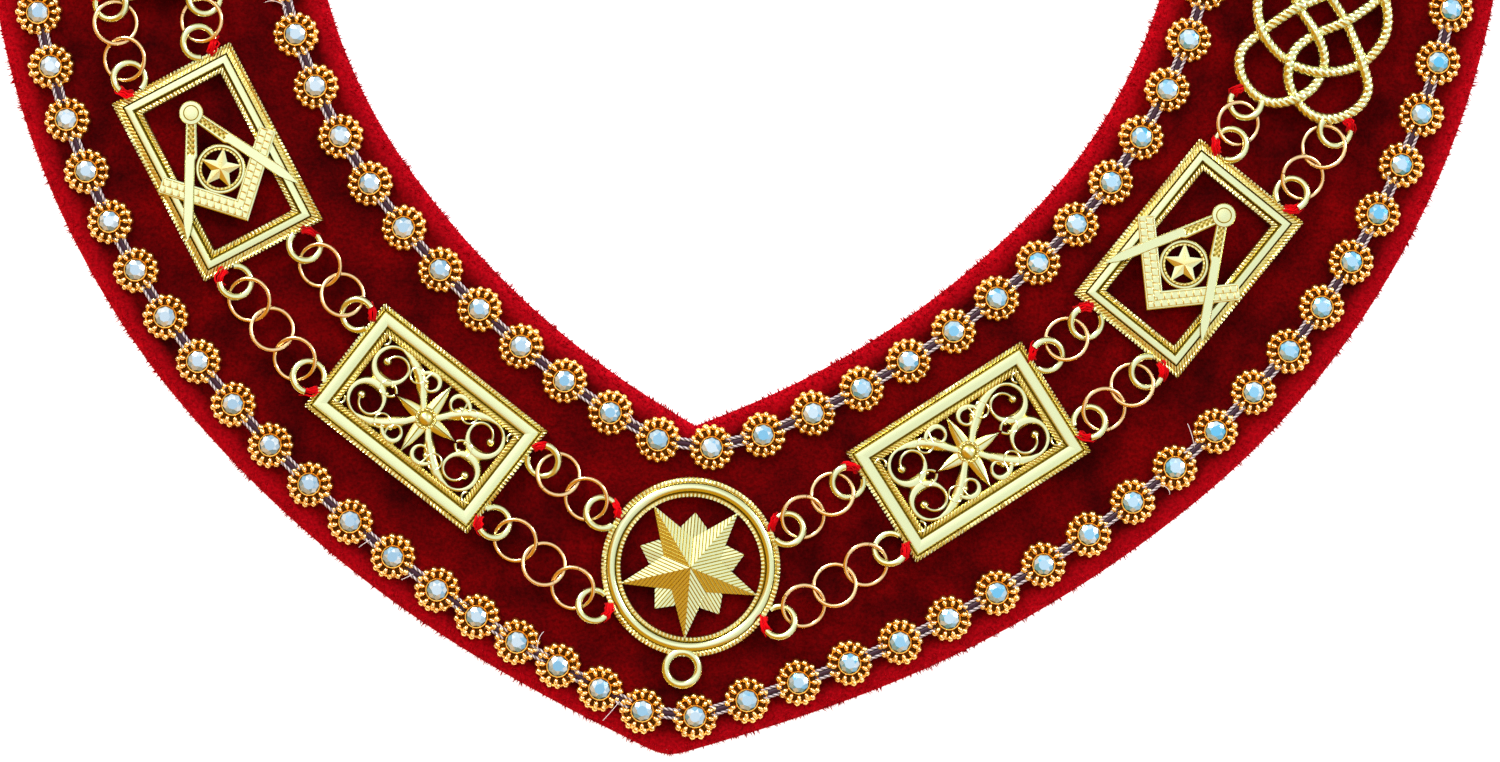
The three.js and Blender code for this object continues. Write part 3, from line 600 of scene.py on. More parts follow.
ROSETTE_GILT = gilt("warm rosette gilt", "542a08", "eca830", "ffd46c", "ffeab0", 0.2, 0.7, 0.5)
spread = np.random.default_rng(5)
sewn_rows, stone_places = [], []
for name, cad, rows in (("outer_rosettes", "outer_rosette_row", ROWS[:2]),
                        ("inner_rosettes", "inner_rosette_row", ROWS[2:])):
    sewn_rows.append([rosette_places(row) for row in rows])
    spots = np.concatenate(sewn_rows[-1])
    spots = np.column_stack([spots, np.full(len(spots), SEWN_Z)])
    stone_places.append(spots)
    surface = placed(rosette(spread), spots, spread.uniform(0, 2 * np.pi, len(spots)))
    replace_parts(piece(name, surface, ROSETTE_GILT, smooth=50), cad)

# Stones
#
# Clear glass chatons on foil, pressed into the cups. Each has a flat table and two rows of crown
# facets. A cold, slightly blue reflection is painted into the facets' colour, brighter or darker
# at random from facet to facet.

STONE_SEAT = 1.9
STONE_CROWN = 1.25
STONE_GIRDLE = 0.35


def stone():
    """One stone: girdle, main, star and table facets above, and a flat foiled back."""
    around = 2 * np.pi * np.arange(STONE_SIDES) / STONE_SIDES
    points = np.concatenate([
        around_z(STONE_R, around, STONE_GIRDLE),
        around_z(STONE_R * 0.82, around + np.pi / STONE_SIDES, STONE_CROWN * 0.7),
        around_z(STONE_TABLE_R, around, STONE_CROWN),
        around_z(STONE_R, around, 0.0),
        [[0, 0, STONE_CROWN], [0, 0, 0]],
    ])
    girdle, middle, table, foot = (np.arange(STONE_SIDES) + k * STONE_SIDES for k in range(4))
    peak, base = np.full((2, STONE_SIDES), 4 * STONE_SIDES) + [[0], [1]]
    after, before = (lambda p: np.roll(p, -1)), (lambda p: np.roll(p, 1))
    faces = np.concatenate([
        np.stack([girdle, after(girdle), middle, middle], 1),
        np.stack([girdle, middle, table, before(middle)], 1),
        np.stack([table, middle, after(table), after(table)], 1),
        np.stack([table, after(table), peak, peak], 1),
        np.stack([foot, after(foot), after(girdle), girdle], 1),
        np.stack([after(foot), foot, base, base], 1),
    ])
    return points, faces, np.zeros(len(points))


def chaton():
    """Foil-backed clear glass: mirror-bright under a smooth skin. Each facet's colour holds a painted
    reflection, between slate and white at random by facet, and its tint turns from grey-blue at
    the left to aqua at the right."""
    made, tree, look = finish("foil-backed glass", Metallic=0.5, Roughness=0.12,
                              Coat_Weight=1.0, Coat_Roughness=0.03)
    painted_flash = node(tree, "ShaderNodeAttribute", attribute_name="painted_flash")
    place = node(tree, "ShaderNodeTexCoord")
    where = node(tree, "ShaderNodeSeparateXYZ", [("Vector", place, "Object")])
    along = node(tree, "ShaderNodeMapRange", [("Value", where, "X")], From_Min=-0.12, From_Max=0.14)
    tint = node(tree, "ShaderNodeMix", [(0, along, "Result")],
                {6: linear("86b2d2"), 7: linear("4cbcf0")}, data_type="RGBA")
    bright = node(tree, "ShaderNodeMapRange", [("Value", painted_flash, "Fac")], To_Min=0.0, To_Max=0.95)
    colour = node(tree, "ShaderNodeMix", [(0, bright, "Result"), (6, tint, 2)],
                  {7: linear("f7fcff")}, data_type="RGBA")
    tree.links.new(colour.outputs[2], look.inputs["Base Color"])
    return made


spots = np.concatenate(stone_places) + [0, 0, STONE_SEAT]
chatons = placed(stone(), spots, spread.uniform(0, 2 * np.pi, len(spots)))
stones = piece("rosette_stones", chatons, chaton(), smooth=1, weld=False)
painted_flashes = stones.data.attributes.new("painted_flash", "FLOAT", "FACE")
# Painted reflection: a random strength for each facet, the same over each table.
painted_flash = spread.uniform(0.0, 0.8, (len(spots), 6, STONE_SIDES))
painted_flash[:, 3] = painted_flash[:, 3, :1] * 0.7
painted_flashes.data.foreach_set("value", painted_flash.ravel().astype(np.float32))

# Twisted threads
#
# Two threads of silvery lilac rayon, each of two plies, run along each row and carry the
# rosettes, with painted shade where the plies meet. Between them lies a dark strand in the
# threads' painted shade colour, standing in for the shade in the gap. They show only in the
# gaps. A few ends have worked loose.

THREAD_APART = 2.5
THREAD_D = 0.95
THREAD_SPAN = 6.6
THREAD_LAY = 3.2
THREAD_UP = 0.9
SHADE_STRAND_R = 0.85
SHADE_STRAND_UP = 0.5
LOOSE_ENDS = 16


def rope(path, radius, lay, plies, sides=6, bulge=0.45):
    """A twisted strand along a path: around its middle, the radius swells over each ply, and the
    plies turn once for each length of lay. Returns its points and, from 0 between the plies to 1
    on them, where each point is."""
    path = np.asarray(path, float)
    run = unit(np.gradient(path, axis=0))
    side = unit(np.stack([-run[:, 1], run[:, 0], np.zeros(len(run))], -1))
    up = np.cross(run, side)
    around = 2 * np.pi * np.arange(sides) / sides
    ply = np.abs(np.cos(plies / 2 * (around - 2 * np.pi * distance_along(path)[:, None] / lay)))
    swell = radius * (1 - bulge * (1 - ply) ** 2)
    out = np.cos(around)[:, None] * side[:, None] + np.sin(around)[:, None] * up[:, None]
    return path[:, None] + swell[..., None] * out, ply


def bearing(steps):
    """The direction of a step, or of each row of steps."""
    return np.arctan2(steps[..., 1], steps[..., 0])


gaps = [((here[1:] + here[:-1]) / 2, bearing(np.diff(here, axis=0))) for row in sewn_rows for here in row]
for left, right in sewn_rows:
    ends = np.array([left[[0, -1]], right[[0, -1]]])
    gaps.append((ends.mean(0), bearing(ends[1] - ends[0])))
middles, courses = (np.concatenate(part) for part in zip(*gaps))

bed = np.linspace(-THREAD_SPAN / 2, THREAD_SPAN / 2, 18)
pair = []
for y in (-THREAD_APART / 2, THREAD_APART / 2):
    line = np.column_stack([bed, 0 * bed + y, 0 * bed + THREAD_UP])
    twist, ply = rope(line, THREAD_D / 2, THREAD_LAY, 2)
    # Painted shade where the plies meet: the tone falls to 0 between them.
    pair.append(capped(twist, ply ** 3))
# A dark strand in the painted shade colour, in the gap between the threads, standing in for shade.
shade_strand, _ = rope(np.column_stack([bed, 0 * bed, 0 * bed + SHADE_STRAND_UP]), SHADE_STRAND_R, THREAD_LAY, 2, bulge=0)
pair.append(capped(shade_strand, 0.0))
threads = placed(together(pair), np.column_stack([middles, np.full(len(middles), SEWN_Z)]), courses)


def loose_ends():
    """Fine strands that spring from gaps here and there and curl away from the row."""
    stray = np.random.default_rng(23)
    steps = np.linspace(0, 1, 14)
    strands = []
    for _ in range(LOOSE_ENDS):
        k = stray.integers(len(middles))
        course = courses[k] + stray.choice([-1, 1]) * stray.uniform(0.6, 1.4)
        bend = course + stray.normal(0, 1.6) * steps ** 2
        stride = stray.uniform(4, 9) / len(steps)
        flat = middles[k] + stride * np.cumsum(np.column_stack([np.cos(bend), np.sin(bend)]), 0)
        up = SEWN_Z + 1.0 + 1.2 * np.sin(np.pi * steps) * stray.uniform(0.3, 1)
        hair, _ = rope(np.column_stack([flat, up]), 0.1, 5, 2, sides=4, bulge=0)
        strands.append(capped(hair, 0.9))
    return strands


def thread_look(name, shadow, light, shine):
    """Twisted thread, from the shadow colour at tone 0 to the light colour at 1, with a soft shine on
    rayon and less on cotton. On the lilac threads the dark is painted shade where the plies meet.
    """
    made, tree, look = finish(name, Roughness=0.45, Sheen_Weight=shine / 2, Specular_IOR_Level=shine)
    tone = node(tree, "ShaderNodeAttribute", attribute_name="tone")
    colour = node(tree, "ShaderNodeValToRGB", [("Fac", tone, "Fac")], stops=[(0, shadow), (1, light)])
    tree.links.new(colour.outputs[0], look.inputs["Base Color"])
    return made


LILAC_RAYON = thread_look("lilac rayon thread", "34102a", "fbf2fb", 0.3)
piece("rosette_threads", together([threads, *loose_ends()]), LILAC_RAYON)

# Chains and eyes
#
# Jump rings of rose-gilt brass wire, bent round and closed butt to butt, link the plates. They hang
# in eyes of thicker pale gilt wire, which are soldered to the plates' rims at one end. Bright red
# thread ties the other end down to the velvet.

EYE_D = 11.5
EYE_WIRE = 2.15
EYE_BEYOND_RIM = 4.25
RING_D = 14.0
RING_WIRE = 1.3
LINK_SIDES = 10
RING_BITE = 0.91
LINK_CLEARANCE = 0.25
MEDALLION_D = 53.7
MEDALLION_EYE_ANGLE = 26.5
MEDALLION_ASIDE = 2.3
MEDALLION_BELOW_NOTCH = 42.7

EYE_OUT = {"scroll": 11.8, "compasses": 11.7, "rope": 14}
EYE_ALONG = {"scroll": 31 + EYE_BEYOND_RIM, "compasses": 30 + EYE_BEYOND_RIM, "rope": 32}
PLATES = {
    "scroll_plate_left": {"side": -1, "along": 0.1587, "across": -0.037, "turn": -3.3},
    "scroll_plate_right": {"side": 1, "along": 0.1652, "across": -0.086, "turn": 0.2},
    "compasses_plate_left": {"side": -1, "along": 0.3292, "across": -0.012, "turn": -1.4},
    "compasses_plate_right": {"side": 1, "along": 0.3181, "across": -0.092, "turn": -1.1},
    "rope_plate_left": {"side": -1, "along": 0.4717, "across": -0.04, "turn": 0},
    "rope_plate_right": {"side": 1, "along": 0.4628, "across": -0.02, "turn": -2.7},
}

RING_SWEEP = 358.5

eye_radius = (EYE_D - EYE_WIRE) / 2
ring_radius = (RING_D - RING_WIRE) / 2
half_side = np.pi / LINK_SIDES
ring_pitch = 2 * ring_radius * np.cos(half_side) - RING_BITE
ring_half_chord = ring_radius * np.sin(half_side) + RING_BITE / 2 / np.tan(2 * half_side)
ring_tilt = np.arcsin((RING_WIRE + LINK_CLEARANCE / 2) / (2 * ring_half_chord))
CHAIN_HEIGHT = ring_radius * np.sin(ring_tilt) + RING_WIRE / 2


def plate_place(side, along, across, turn):
    """A plate's middle and lean on its side of the band, in the frame's millimetres."""
    point, heading = beside_middle_line(along * HALF_LENGTH, across * HALF_WIDTH)
    return side * point[0], point[1] + NOTCH_Y, side * (heading - np.pi / 2 + np.radians(turn))


seats = {name: plate_place(**place) for name, place in PLATES.items()}
seats["star_medallion"] = (MEDALLION_ASIDE, NOTCH_Y - MEDALLION_BELOW_NOTCH, 0.0)


def on_plate(surface, seat):
    """A surface drawn about a plate's middle, moved to the plate's place on the velvet."""
    x, y, angle = seat
    return placed(surface, [[x, y, SEWN_Z]], [angle])


def seated(spot, seat):
    """A place on a plate, in the frame's millimetres."""
    x, y, angle = seat
    return np.add(turned(*spot, angle), (x, y))


def wire_ring(diameter, wire, start=0.0, sweep=360.0, steps=48, sides=10):
    """A ring of round wire about z, or the part of one that starts at an angle and sweeps on."""
    whole = abs(sweep) >= 360
    angle = np.radians(start + np.linspace(0, sweep, steps, endpoint=not whole))[:, None]
    around = 2 * np.pi * np.arange(sides) / sides
    points = around_z((diameter - wire + wire * np.cos(around)) / 2, angle, wire / 2 * np.sin(around))
    return skin(points, close_rows=True, close_columns=True) if whole else capped(points)


def leaned(surface, tilt):
    """The surface turned about its x axis."""
    points, faces, tones = surface
    y, z = turned(points[:, 1], points[:, 2], tilt)
    return np.stack([points[:, 0], y, z], -1), faces, tones


def eye_spot(kind, side, end, row):
    """An eye's place on its plate, the direction from it to the rim, and the way round, 1 or -1,
    from there to its tied end."""
    if kind == "star":
        angle = np.radians(MEDALLION_EYE_ANGLE)
        spot = (MEDALLION_D / 2 + EYE_BEYOND_RIM) * np.array([side * np.cos(angle), -row * np.sin(angle)])
        return spot, bearing(-spot), side * row
    spot = np.array([side * row * EYE_OUT[kind], end * EYE_ALONG[kind]])
    return spot, -end * np.pi / 2, end * side * row


EYE_SOLDERED = {"star": 20, "scroll": 20, "compasses": 20, "rope": 68}
EYE_TIED = 66
STITCHES = 11
STITCH_R = 0.3
STITCH_STEPS = 7


def tied_eye(seat, soldered, spot, rimward, tied_way, heading, tilt):
    """One eye with its thread, seated on the collar: the wire from its soldered end, that many
    degrees from the rim, round to its tied end, and strands from there over the rim."""
    centre = [[*seated(spot, seat), SEWN_Z + CHAIN_HEIGHT]]
    rim = np.degrees(rimward + seat[2] - heading)
    sweep = -tied_way * (360 - soldered - EYE_TIED)
    wire = wire_ring(EYE_D, EYE_WIRE, rim - tied_way * soldered, sweep)
    turns = np.radians(rim + tied_way * np.linspace(EYE_TIED + 14, 12, STITCH_STEPS))
    arch = np.interp(np.linspace(0, 1, STITCH_STEPS), [0, 0.3, 0.8, 1], [-0.8, 1.2, 0.9, -0.6])
    strands = []
    for _ in range(STITCHES):
        reach = eye_radius + stitches.uniform(-1.1, 1.1) + stitches.normal(0, 0.25, STITCH_STEPS)
        path = around_z(reach, turns, arch + stitches.normal(0, 0.15))
        points, _ = rope(path, STITCH_R, 5, 2, sides=5, bulge=0)
        strands.append(capped(points, stitches.uniform(0.2, 1.0)))
    return [placed(surface, centre, [heading]) for surface in (leaned(wire, tilt), together(strands))]


stitches = np.random.default_rng(3)
RING_GILT = gilt("rose gilt wire", "8a4a12", "e0a650", "f0c07c", "f8d8a6", 0.2, 0.8, 0.3)
KINDS = ["star", "scroll", "compasses", "rope"]
eyes = {name: [] for name in seats}
ties = []
for side_name, side in (("left", -1), ("right", 1)):
    run = ["star_medallion"] + [f"{kind}_plate_{side_name}" for kind in KINDS[1:]]
    for k in range(3):
        for row_name, row in (("inner", -1), ("outer", 1)):
            spots = [eye_spot(KINDS[k], side, 1, row), eye_spot(KINDS[k + 1], side, -1, row)]
            first, last = (seated(spot, seats[name]) for name, (spot, _, _) in zip(run[k:k + 2], spots))
            span = np.hypot(*(last - first))
            heading = bearing(last - first)
            count = max(1, int(round((span - 2 * ring_radius) / ring_pitch)) + 1)
            to_eye = (span - (count - 1) * ring_pitch) / 2
            crossing = (to_eye ** 2 + eye_radius ** 2 - ring_radius ** 2) / (2 * to_eye)
            rise = (EYE_WIRE + RING_WIRE) / 2 + LINK_CLEARANCE
            half_chord = np.sqrt(eye_radius ** 2 - crossing ** 2)
            eye_tilt = np.arcsin(max(0, rise / half_chord - np.sin(ring_tilt)))
            plateward = bearing(seats[run[k]][:2] - first)
            lean = -1 if np.sin(plateward - heading) < 0 else 1
            rings = []
            for n in range(count):
                middle = first + (to_eye + n * ring_pitch) * unit(last - first)
                wire = wire_ring(RING_D, RING_WIRE, stitches.uniform(0, 360), RING_SWEEP)
                ring = leaned(wire, lean * ring_tilt * (-1) ** n)
                rings.append(placed(ring, [[*middle, SEWN_Z + CHAIN_HEIGHT]], [heading]))
            link = f"{row_name}_{KINDS[k]}_to_{KINDS[k + 1]}_{side_name}"
            made = piece(f"rings_{link}", together(rings), RING_GILT, smooth=60)
            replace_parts(made, f"chain_{link}")
            tilts = [-lean * eye_tilt, (-lean if count % 2 else lean) * eye_tilt]
            for kind, name, spot, tilt in zip(KINDS[k:k + 2], run[k:k + 2], spots, tilts):
                eye, tie = tied_eye(seats[name], EYE_SOLDERED[kind], *spot, heading, tilt)
                eyes[name].append(eye)
                ties.append(tie)
RED_COTTON = thread_look("bright red cotton thread", "8c0008", "ee0010", 0.05)
piece("red_ties", together(ties), RED_COTTON)

# Star medallion
#
# Cast and pale-gilded: a round moulded frame, a five-pointed star in ridged facets with fine
# parallel grooves, five grooved rays behind it, and a plain polished ring below to hang a jewel.

BEAD_PITCH = 1.2
FRAME_HEIGHT = 2.9
MEDALLION_FRAME_WIDTH = 5.9
# Rows: share of width, height, how far beads stand proud, and tone; a low tone paints shade in a groove, a
# high one a highlight on a height.
ROUND_MOULDING = [
    (0, 0, 0, 0.2), (0, 1.4, 0.3, 0.6), (0.06, 1.9, 0.5, 0.95), (0.22, 2.1, 0.5, 1),
    (0.28, 2.1, 0.1, 0.7), (0.3, 1.8, 0, 0.05), (0.32, 2.4, 0, 0.9), (0.4, 2.75, 0, 1),
    (0.5, 2.9, 0, 1), (0.6, 2.8, 0, 1), (0.69, 2.4, 0, 1), (0.71, 1.6, 0, 0), (0.74, 1.6, 0.1, 0.2),
    (0.79, 1.9, 0.45, 0.95), (0.94, 1.9, 0.45, 1), (1, 1.4, 0.2, 0.5), (1, 0, 0, 0.2),
]
STAR_R = MEDALLION_D / 2 - MEDALLION_FRAME_WIDTH + 0.7
STAR_INNER_R = 8.8
STAR_BACK = 1.2
STAR_EDGE = 2.0
STAR_TIP_Z = 2.3
STAR_CROWN = 4.2
GROOVE_PITCH = 0.95
GROOVE_DEPTH = 0.25
RAY_ROOT_R = 4.0
RAY_TIP_R = 16.4
RAY_SHOULDER_R = 11.9
RAY_HALF_WIDTH = 3.9
RAY_TOP = 1.7
RAY_FALL = 0.3
JEWEL_RING_D = 12.5
JEWEL_RING_WIRE = 2.7


def moulded(side, sides, length_at, width, moulding):
    """A moulding round a frame. side(k, inset, share) gives points along side k, and a moulding's
    rows are its share of the width in from the outer edge, height, how far its beads stand proud,
    and tone, low for painted shade in a groove and high for a painted highlight. The beads are as
    many as fit each line's own length, and swell sideways too, away from the middle of the
    moulding; each is painted in shade at its foot and with a highlight on its top."""
    points, tones = [], []
    for k in range(sides):
        count = 4 * round(length_at(k, 0) / BEAD_PITCH)
        share = np.arange(count) / count
        lines, shades = [], []
        for inset, up, proud, tone in moulding:
            bead = np.abs(np.sin(np.pi * round(length_at(k, inset * width) / BEAD_PITCH) * share)) ** 0.6
            swell = np.sign(inset - 0.5) * 0.5 * proud * bead
            flat = side(k, (inset * width + swell)[:, None], share)
            lines.append(np.column_stack([flat, up + proud * bead]))
            # Painted light on the beads: shade between them, a highlight on their tops.
            shades.append(tone * (0.05 + 0.95 * bead) if proud else np.full(count, tone))
        points.append(np.stack(lines, 1))
        tones.append(np.stack(shades, 1))
    return skin(np.concatenate(points), np.concatenate(tones), close_rows=True, close_columns=True)


def round_frame(diameter, width, moulding):
    """A moulded ring about z."""
    def side(k, inset, share):
        angle = 2 * np.pi * share
        return (diameter / 2 - inset) * np.column_stack([np.cos(angle), np.sin(angle)])

    return moulded(side, 1, lambda k, inset: 2 * np.pi * (diameter / 2 - inset), width, moulding)


def grooves(reach):
    """Places from 0 to reach at the foot and both shoulders of each groove, and a tone of 0 in a
    groove, for painted shade, or 1 on its shoulders."""
    count = max(2, round(reach / GROOVE_PITCH))
    place = (np.arange(count)[:, None] + [0, 0.2, 0.8]).ravel() / count
    return np.append(place, 1.0) * reach, np.append(np.tile([0.0, 1.0, 1.0], count), 0.0)


def star(tip_r, inner_r, levels, depth):
    """A five-pointed star, one point down. Levels are the heights of its back, inner corners, tips
    and crown. Grooves run beside the valleys, so that they meet in chevrons on the ridges."""
    back, edge_z, tip_z, crown = levels
    reach, rise = grooves(tip_r * np.sin(np.pi / 5))
    share = reach / reach[-1]
    arms = []
    for k in range(5):
        angle = -np.pi / 2 + 2 * np.pi * k / 5
        tip = around_z(tip_r, angle, tip_z)
        lines, shades = [], []
        for turn, start_r, start_z in ((-1, inner_r, edge_z), (0, 0, crown), (1, inner_r, edge_z)):
            start = around_z(start_r, angle + turn * np.pi / 5, start_z)
            lines.append(start + (tip - start) * share[:, None] - (1 - rise[:, None]) * [0, 0, depth])
            # Painted shade in the grooves; without grooves the crown is painted darker than the edges. The
            # sides darken down to the foot.
            shades.append(0.25 + 0.75 * rise if depth else 0 * rise + (1.0 if turn else 0.7))
        under = [line * [1, 1, 0] + [0, 0, back] for line in lines[::-1]]
        shades += [np.zeros(len(share))] * 3
        arms.append(skin(np.stack(lines + under, 1), np.stack(shades, 1), close_columns=True))
    return together(arms)


def ray():
    """One ray, pointing along x: a low kite with grooves along it, highest in its middle."""
    reach, rise = grooves(2 * RAY_HALF_WIDTH)
    y = reach - RAY_HALF_WIDTH
    narrow = np.abs(y) / RAY_HALF_WIDTH
    start = RAY_ROOT_R + (RAY_SHOULDER_R - RAY_ROOT_R) * narrow
    end = RAY_TIP_R - (RAY_TIP_R - RAY_SHOULDER_R) * narrow
    top = RAY_TOP - RAY_FALL * narrow - GROOVE_DEPTH * (1 - rise)
    bottom = np.full_like(y, STAR_BACK / 2)
    lines = [(start, y, top), (end, y, top), (end, y, bottom), (start, y, bottom)]
    points = np.stack([np.stack(line, -1) for line in lines], 1)
    # Painted shade in the grooves and down the sides.
    return skin(points, (0.2 + 0.8 * rise)[:, None] * [1, 1, 0, 0], close_columns=True)


PALE_GILT = gilt("pale polished gilt", "5a4a0c", "ccb850", "f0e69e", "e6efbe", 0.2, 0.45, 0.5)
jewel_ring = wire_ring(JEWEL_RING_D, JEWEL_RING_WIRE, steps=64, sides=16)
medallion = together([
    round_frame(MEDALLION_D, MEDALLION_FRAME_WIDTH, ROUND_MOULDING),
    shifted(jewel_ring, y=JEWEL_RING_WIRE - (MEDALLION_D + JEWEL_RING_D) / 2, z=JEWEL_RING_WIRE / 2),
])
facets = together([
    star(STAR_R, STAR_INNER_R, (STAR_BACK, STAR_EDGE, STAR_TIP_Z, STAR_CROWN), GROOVE_DEPTH),
    ring_of(ray(), 5, 0.0, turn=np.pi / 2),
])
piece("medallion_star", on_plate(facets, seats["star_medallion"]), PALE_GILT, smooth=6)


def gilt_plate(name, surface):
    """A plate's piece, seated on the velvet with its eyes, in place of its CAD node."""
    whole = together([on_plate(surface, seats[name]), *eyes[name]])
    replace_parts(piece(f"gilt_{name}", whole, PALE_GILT, smooth=38), name)


gilt_plate("star_medallion", medallion)

# Scroll plates
#
# Two pierced plates: a rectangular moulded frame filled with scrollwork in thick and thin strands
# with ball ends, mirrored about both middle lines, with leaves and a beaded boss.

SCROLL_PLATE = (62, 39)
SCROLL_FRAME_WIDTH = 7.4
# Tones paint shade in the grooves and highlights on the heights.
SCROLL_MOULDING = [
    (0, 0, 0, 0.2), (0, 1.5, 0.4, 0.7), (0.04, 2.0, 0.6, 1), (0.15, 2.1, 0.6, 1), (0.19, 2.0, 0.15, 0.6),
    (0.205, 1.7, 0, 0), (0.22, 2.3, 0, 0.6), (0.27, 2.85, 0, 1), (0.31, 2.9, 0, 1), (0.6, 2.9, 0, 1),
    (0.66, 2.8, 0, 1), (0.685, 2.2, 0, 0.4), (0.71, 1.6, 0.1, 0.1), (0.77, 1.75, 0.4, 0.6),
    (0.88, 1.8, 0.45, 0.7), (0.96, 1.6, 0.3, 0.5), (1, 1.2, 0.1, 0.2), (1, 0, 0, 0.1),
]
# Rows: share across, height and tone. Low tones paint shade down the sides and, on the leaf, in the vein;
# high tones paint a highlight on top.
STRAND_OUTLINE = np.array([
    (-1, 0.8, 0.1), (-1, 1.6, 0.35), (-0.62, 2.25, 0.95), (0, 2.4, 1.0), (0.62, 2.25, 0.95),
    (1, 1.6, 0.35), (1, 0.8, 0.1),
])
LEAF_OUTLINE = np.array([
    (-1, 0.8, 0.1), (-1, 1.6, 0.4), (-0.6, 2.0, 1), (-0.15, 2.1, 1), (0, 1.8, 0.2), (0.15, 2.1, 1),
    (0.6, 2.0, 1), (1, 1.6, 0.4), (1, 0.8, 0.1),
])
# Places and radii are shares of half the opening's width, and an arc is its radius, its sweep and
# the strand's width at its end. The ball is on the strand's first or last point.
SCROLLS = [
    {"from_end": 0.33, "up": 0.52, "heading": 90, "ball": 1.4, "ball_at": 0, "width": 0.9, "arcs": [
        (0.3, 180, 1.2), (0.445, 90, 3.1), (0.445, 90, 1.6), (0.465, 90, 1.1), (1, 25, 3.1),
        (1.65, 20, 3.5), (5, 6.5, 2.0)]},
    {"from_end": 1.165, "up": 0.745, "heading": 110, "ball": 1.1, "ball_at": -1, "width": 1.4, "arcs": [
        (0.37, 70, 2.1), (0.215, 150, 1.2), (0.15, 120, 0.8)]},
    {"from_end": 1.39, "up": 0.98, "heading": 290, "ball": 0.85, "ball_at": -1, "width": 0.9, "arcs": [
        (0.75, -20, 0.8), (0.2, 230, 0.8), (0.13, 120, 0.7)]},
    {"from_end": 0.02, "up": 0.8, "heading": 150, "ball": 0.75, "ball_at": -1, "width": 0.9, "arcs": [
        (0.13, -190, 0.7)]},
    {"from_end": 1.0, "up": 0.03, "heading": 60, "ball": 0.75, "ball_at": -1, "width": 1.1, "arcs": [
        (0.3, -60, 0.8), (0.19, -150, 0.8), (0.12, -100, 0.7)]},
]
BALL_HEIGHT = 1.7
LEAF_HALF_LENGTH = 11
LEAF_WIDTH = 4.4
BOSS_R = 3.4
BOSS_BEADS = 12
BOSS_BEAD = (0.5, 0.5, 0.7)


def rectangular_frame(length, width, frame_width, moulding):
    """A moulded frame with mitred corners, its length along y."""
    signs = np.array([[1, 1], [-1, 1], [-1, -1], [1, -1]])
    half = np.array([width, length]) / 2

    def side(k, inset, share):
        start, end = (signs[(k + j) % 4] * (half - inset) for j in (0, 1))
        return start + (end - start) * share[:, None]

    return moulded(side, 4, lambda k, inset: 2 * (half[k % 2] - inset), frame_width, moulding)


def strand(path, widths, outline):
    """A cast strand along a flat path. The outline's rows are the share of half its width across,
    height and tone, which paints shade down its sides and a highlight on its top."""
    run = unit(np.gradient(path, axis=0))
    across = np.stack([run[:, 1], -run[:, 0]], -1)
    share, up, tone = outline.T
    flat = path[:, None] + across[:, None] * (widths / 2)[:, None, None] * share[:, None]
    points = np.concatenate([flat, np.broadcast_to(up[:, None], (*flat.shape[:2], 1))], -1)
    return capped(points, tone)


def arc_strand(start, heading, width, arcs):
    """The path and widths of a strand along arcs that follow one another."""
    spot, heading = start, np.radians(heading)
    path, widths = [np.array([start])], [[width]]
    for radius, sweep, end_width in arcs:
        steps = np.linspace(0, 1, max(3, int(abs(sweep) / 9)))[1:]
        x, y, headings = arc_end(spot, heading, radius * np.sign(sweep), np.radians(sweep) * steps)
        path.append(np.stack([x, y], -1))
        widths.append(width + (end_width - width) * (3 * steps ** 2 - 2 * steps ** 3))
        spot, heading, width = (x[-1], y[-1]), headings[-1], end_width
    return np.concatenate(path), np.concatenate(widths)


def leaf(half_length, width, turn):
    """A leaf with a vein, pointed at both ends, along y and then turned."""
    t = np.linspace(0, 1, 21)
    path = np.stack(turned(0.0, (2 * t - 1) * half_length, turn), -1)
    widths = np.maximum(width * np.sin(np.pi * t) ** 0.8, 0.1)
    return strand(path, widths, LEAF_OUTLINE)


def scroll_plate():
    """The whole plate about its own middle."""
    length, width = SCROLL_PLATE
    half_length, half_width = length / 2 - SCROLL_FRAME_WIDTH, width / 2 - SCROLL_FRAME_WIDTH
    parts = [rectangular_frame(length, width, SCROLL_FRAME_WIDTH, SCROLL_MOULDING)]
    for scroll in SCROLLS:
        start = (half_length - scroll["from_end"] * half_width, scroll["up"] * half_width)
        arcs = [(radius * half_width, sweep, end_width) for radius, sweep, end_width in scroll["arcs"]]
        path, widths = arc_strand(start, scroll["heading"], scroll["width"], arcs)
        for signs in ([1, 1], [-1, 1], [-1, -1], [1, -1]):
            quarter = path[:, ::-1] * signs
            parts.append(strand(quarter, widths, STRAND_OUTLINE))
            ball = dome(scroll["ball"], scroll["ball"], BALL_HEIGHT, 12, 4)
            parts.append(shifted(ball, *quarter[scroll["ball_at"]], z=STRAND_OUTLINE[0, 1]))
    parts.append(leaf(LEAF_HALF_LENGTH, LEAF_WIDTH, 0.0))
    parts.append(leaf(half_width + 0.5, LEAF_WIDTH, np.pi / 2))
    # Tones paint shade in the boss's groove and a highlight on its dome.
    boss = lathe([
        (0, 0, 0), (BOSS_R, 0, 0.1), (BOSS_R, 1.3, 0.4), (BOSS_R - 0.4, 1.7, 0.9),
        (BOSS_R - 1.1, 1.5, 0.1), (1.9, 1.6, 0.3), (1.2, 2.2, 0.9), (0, 2.5, 1),
    ], 24)
    parts.append(shifted(boss, z=STRAND_OUTLINE[0, 1]))
    parts.append(ring_of(dome(*BOSS_BEAD), BOSS_BEADS, BOSS_R - 0.75, up=2.3))
    return together(parts)


for side_name in ("left", "right"):
    gilt_plate(f"scroll_plate_{side_name}", scroll_plate())

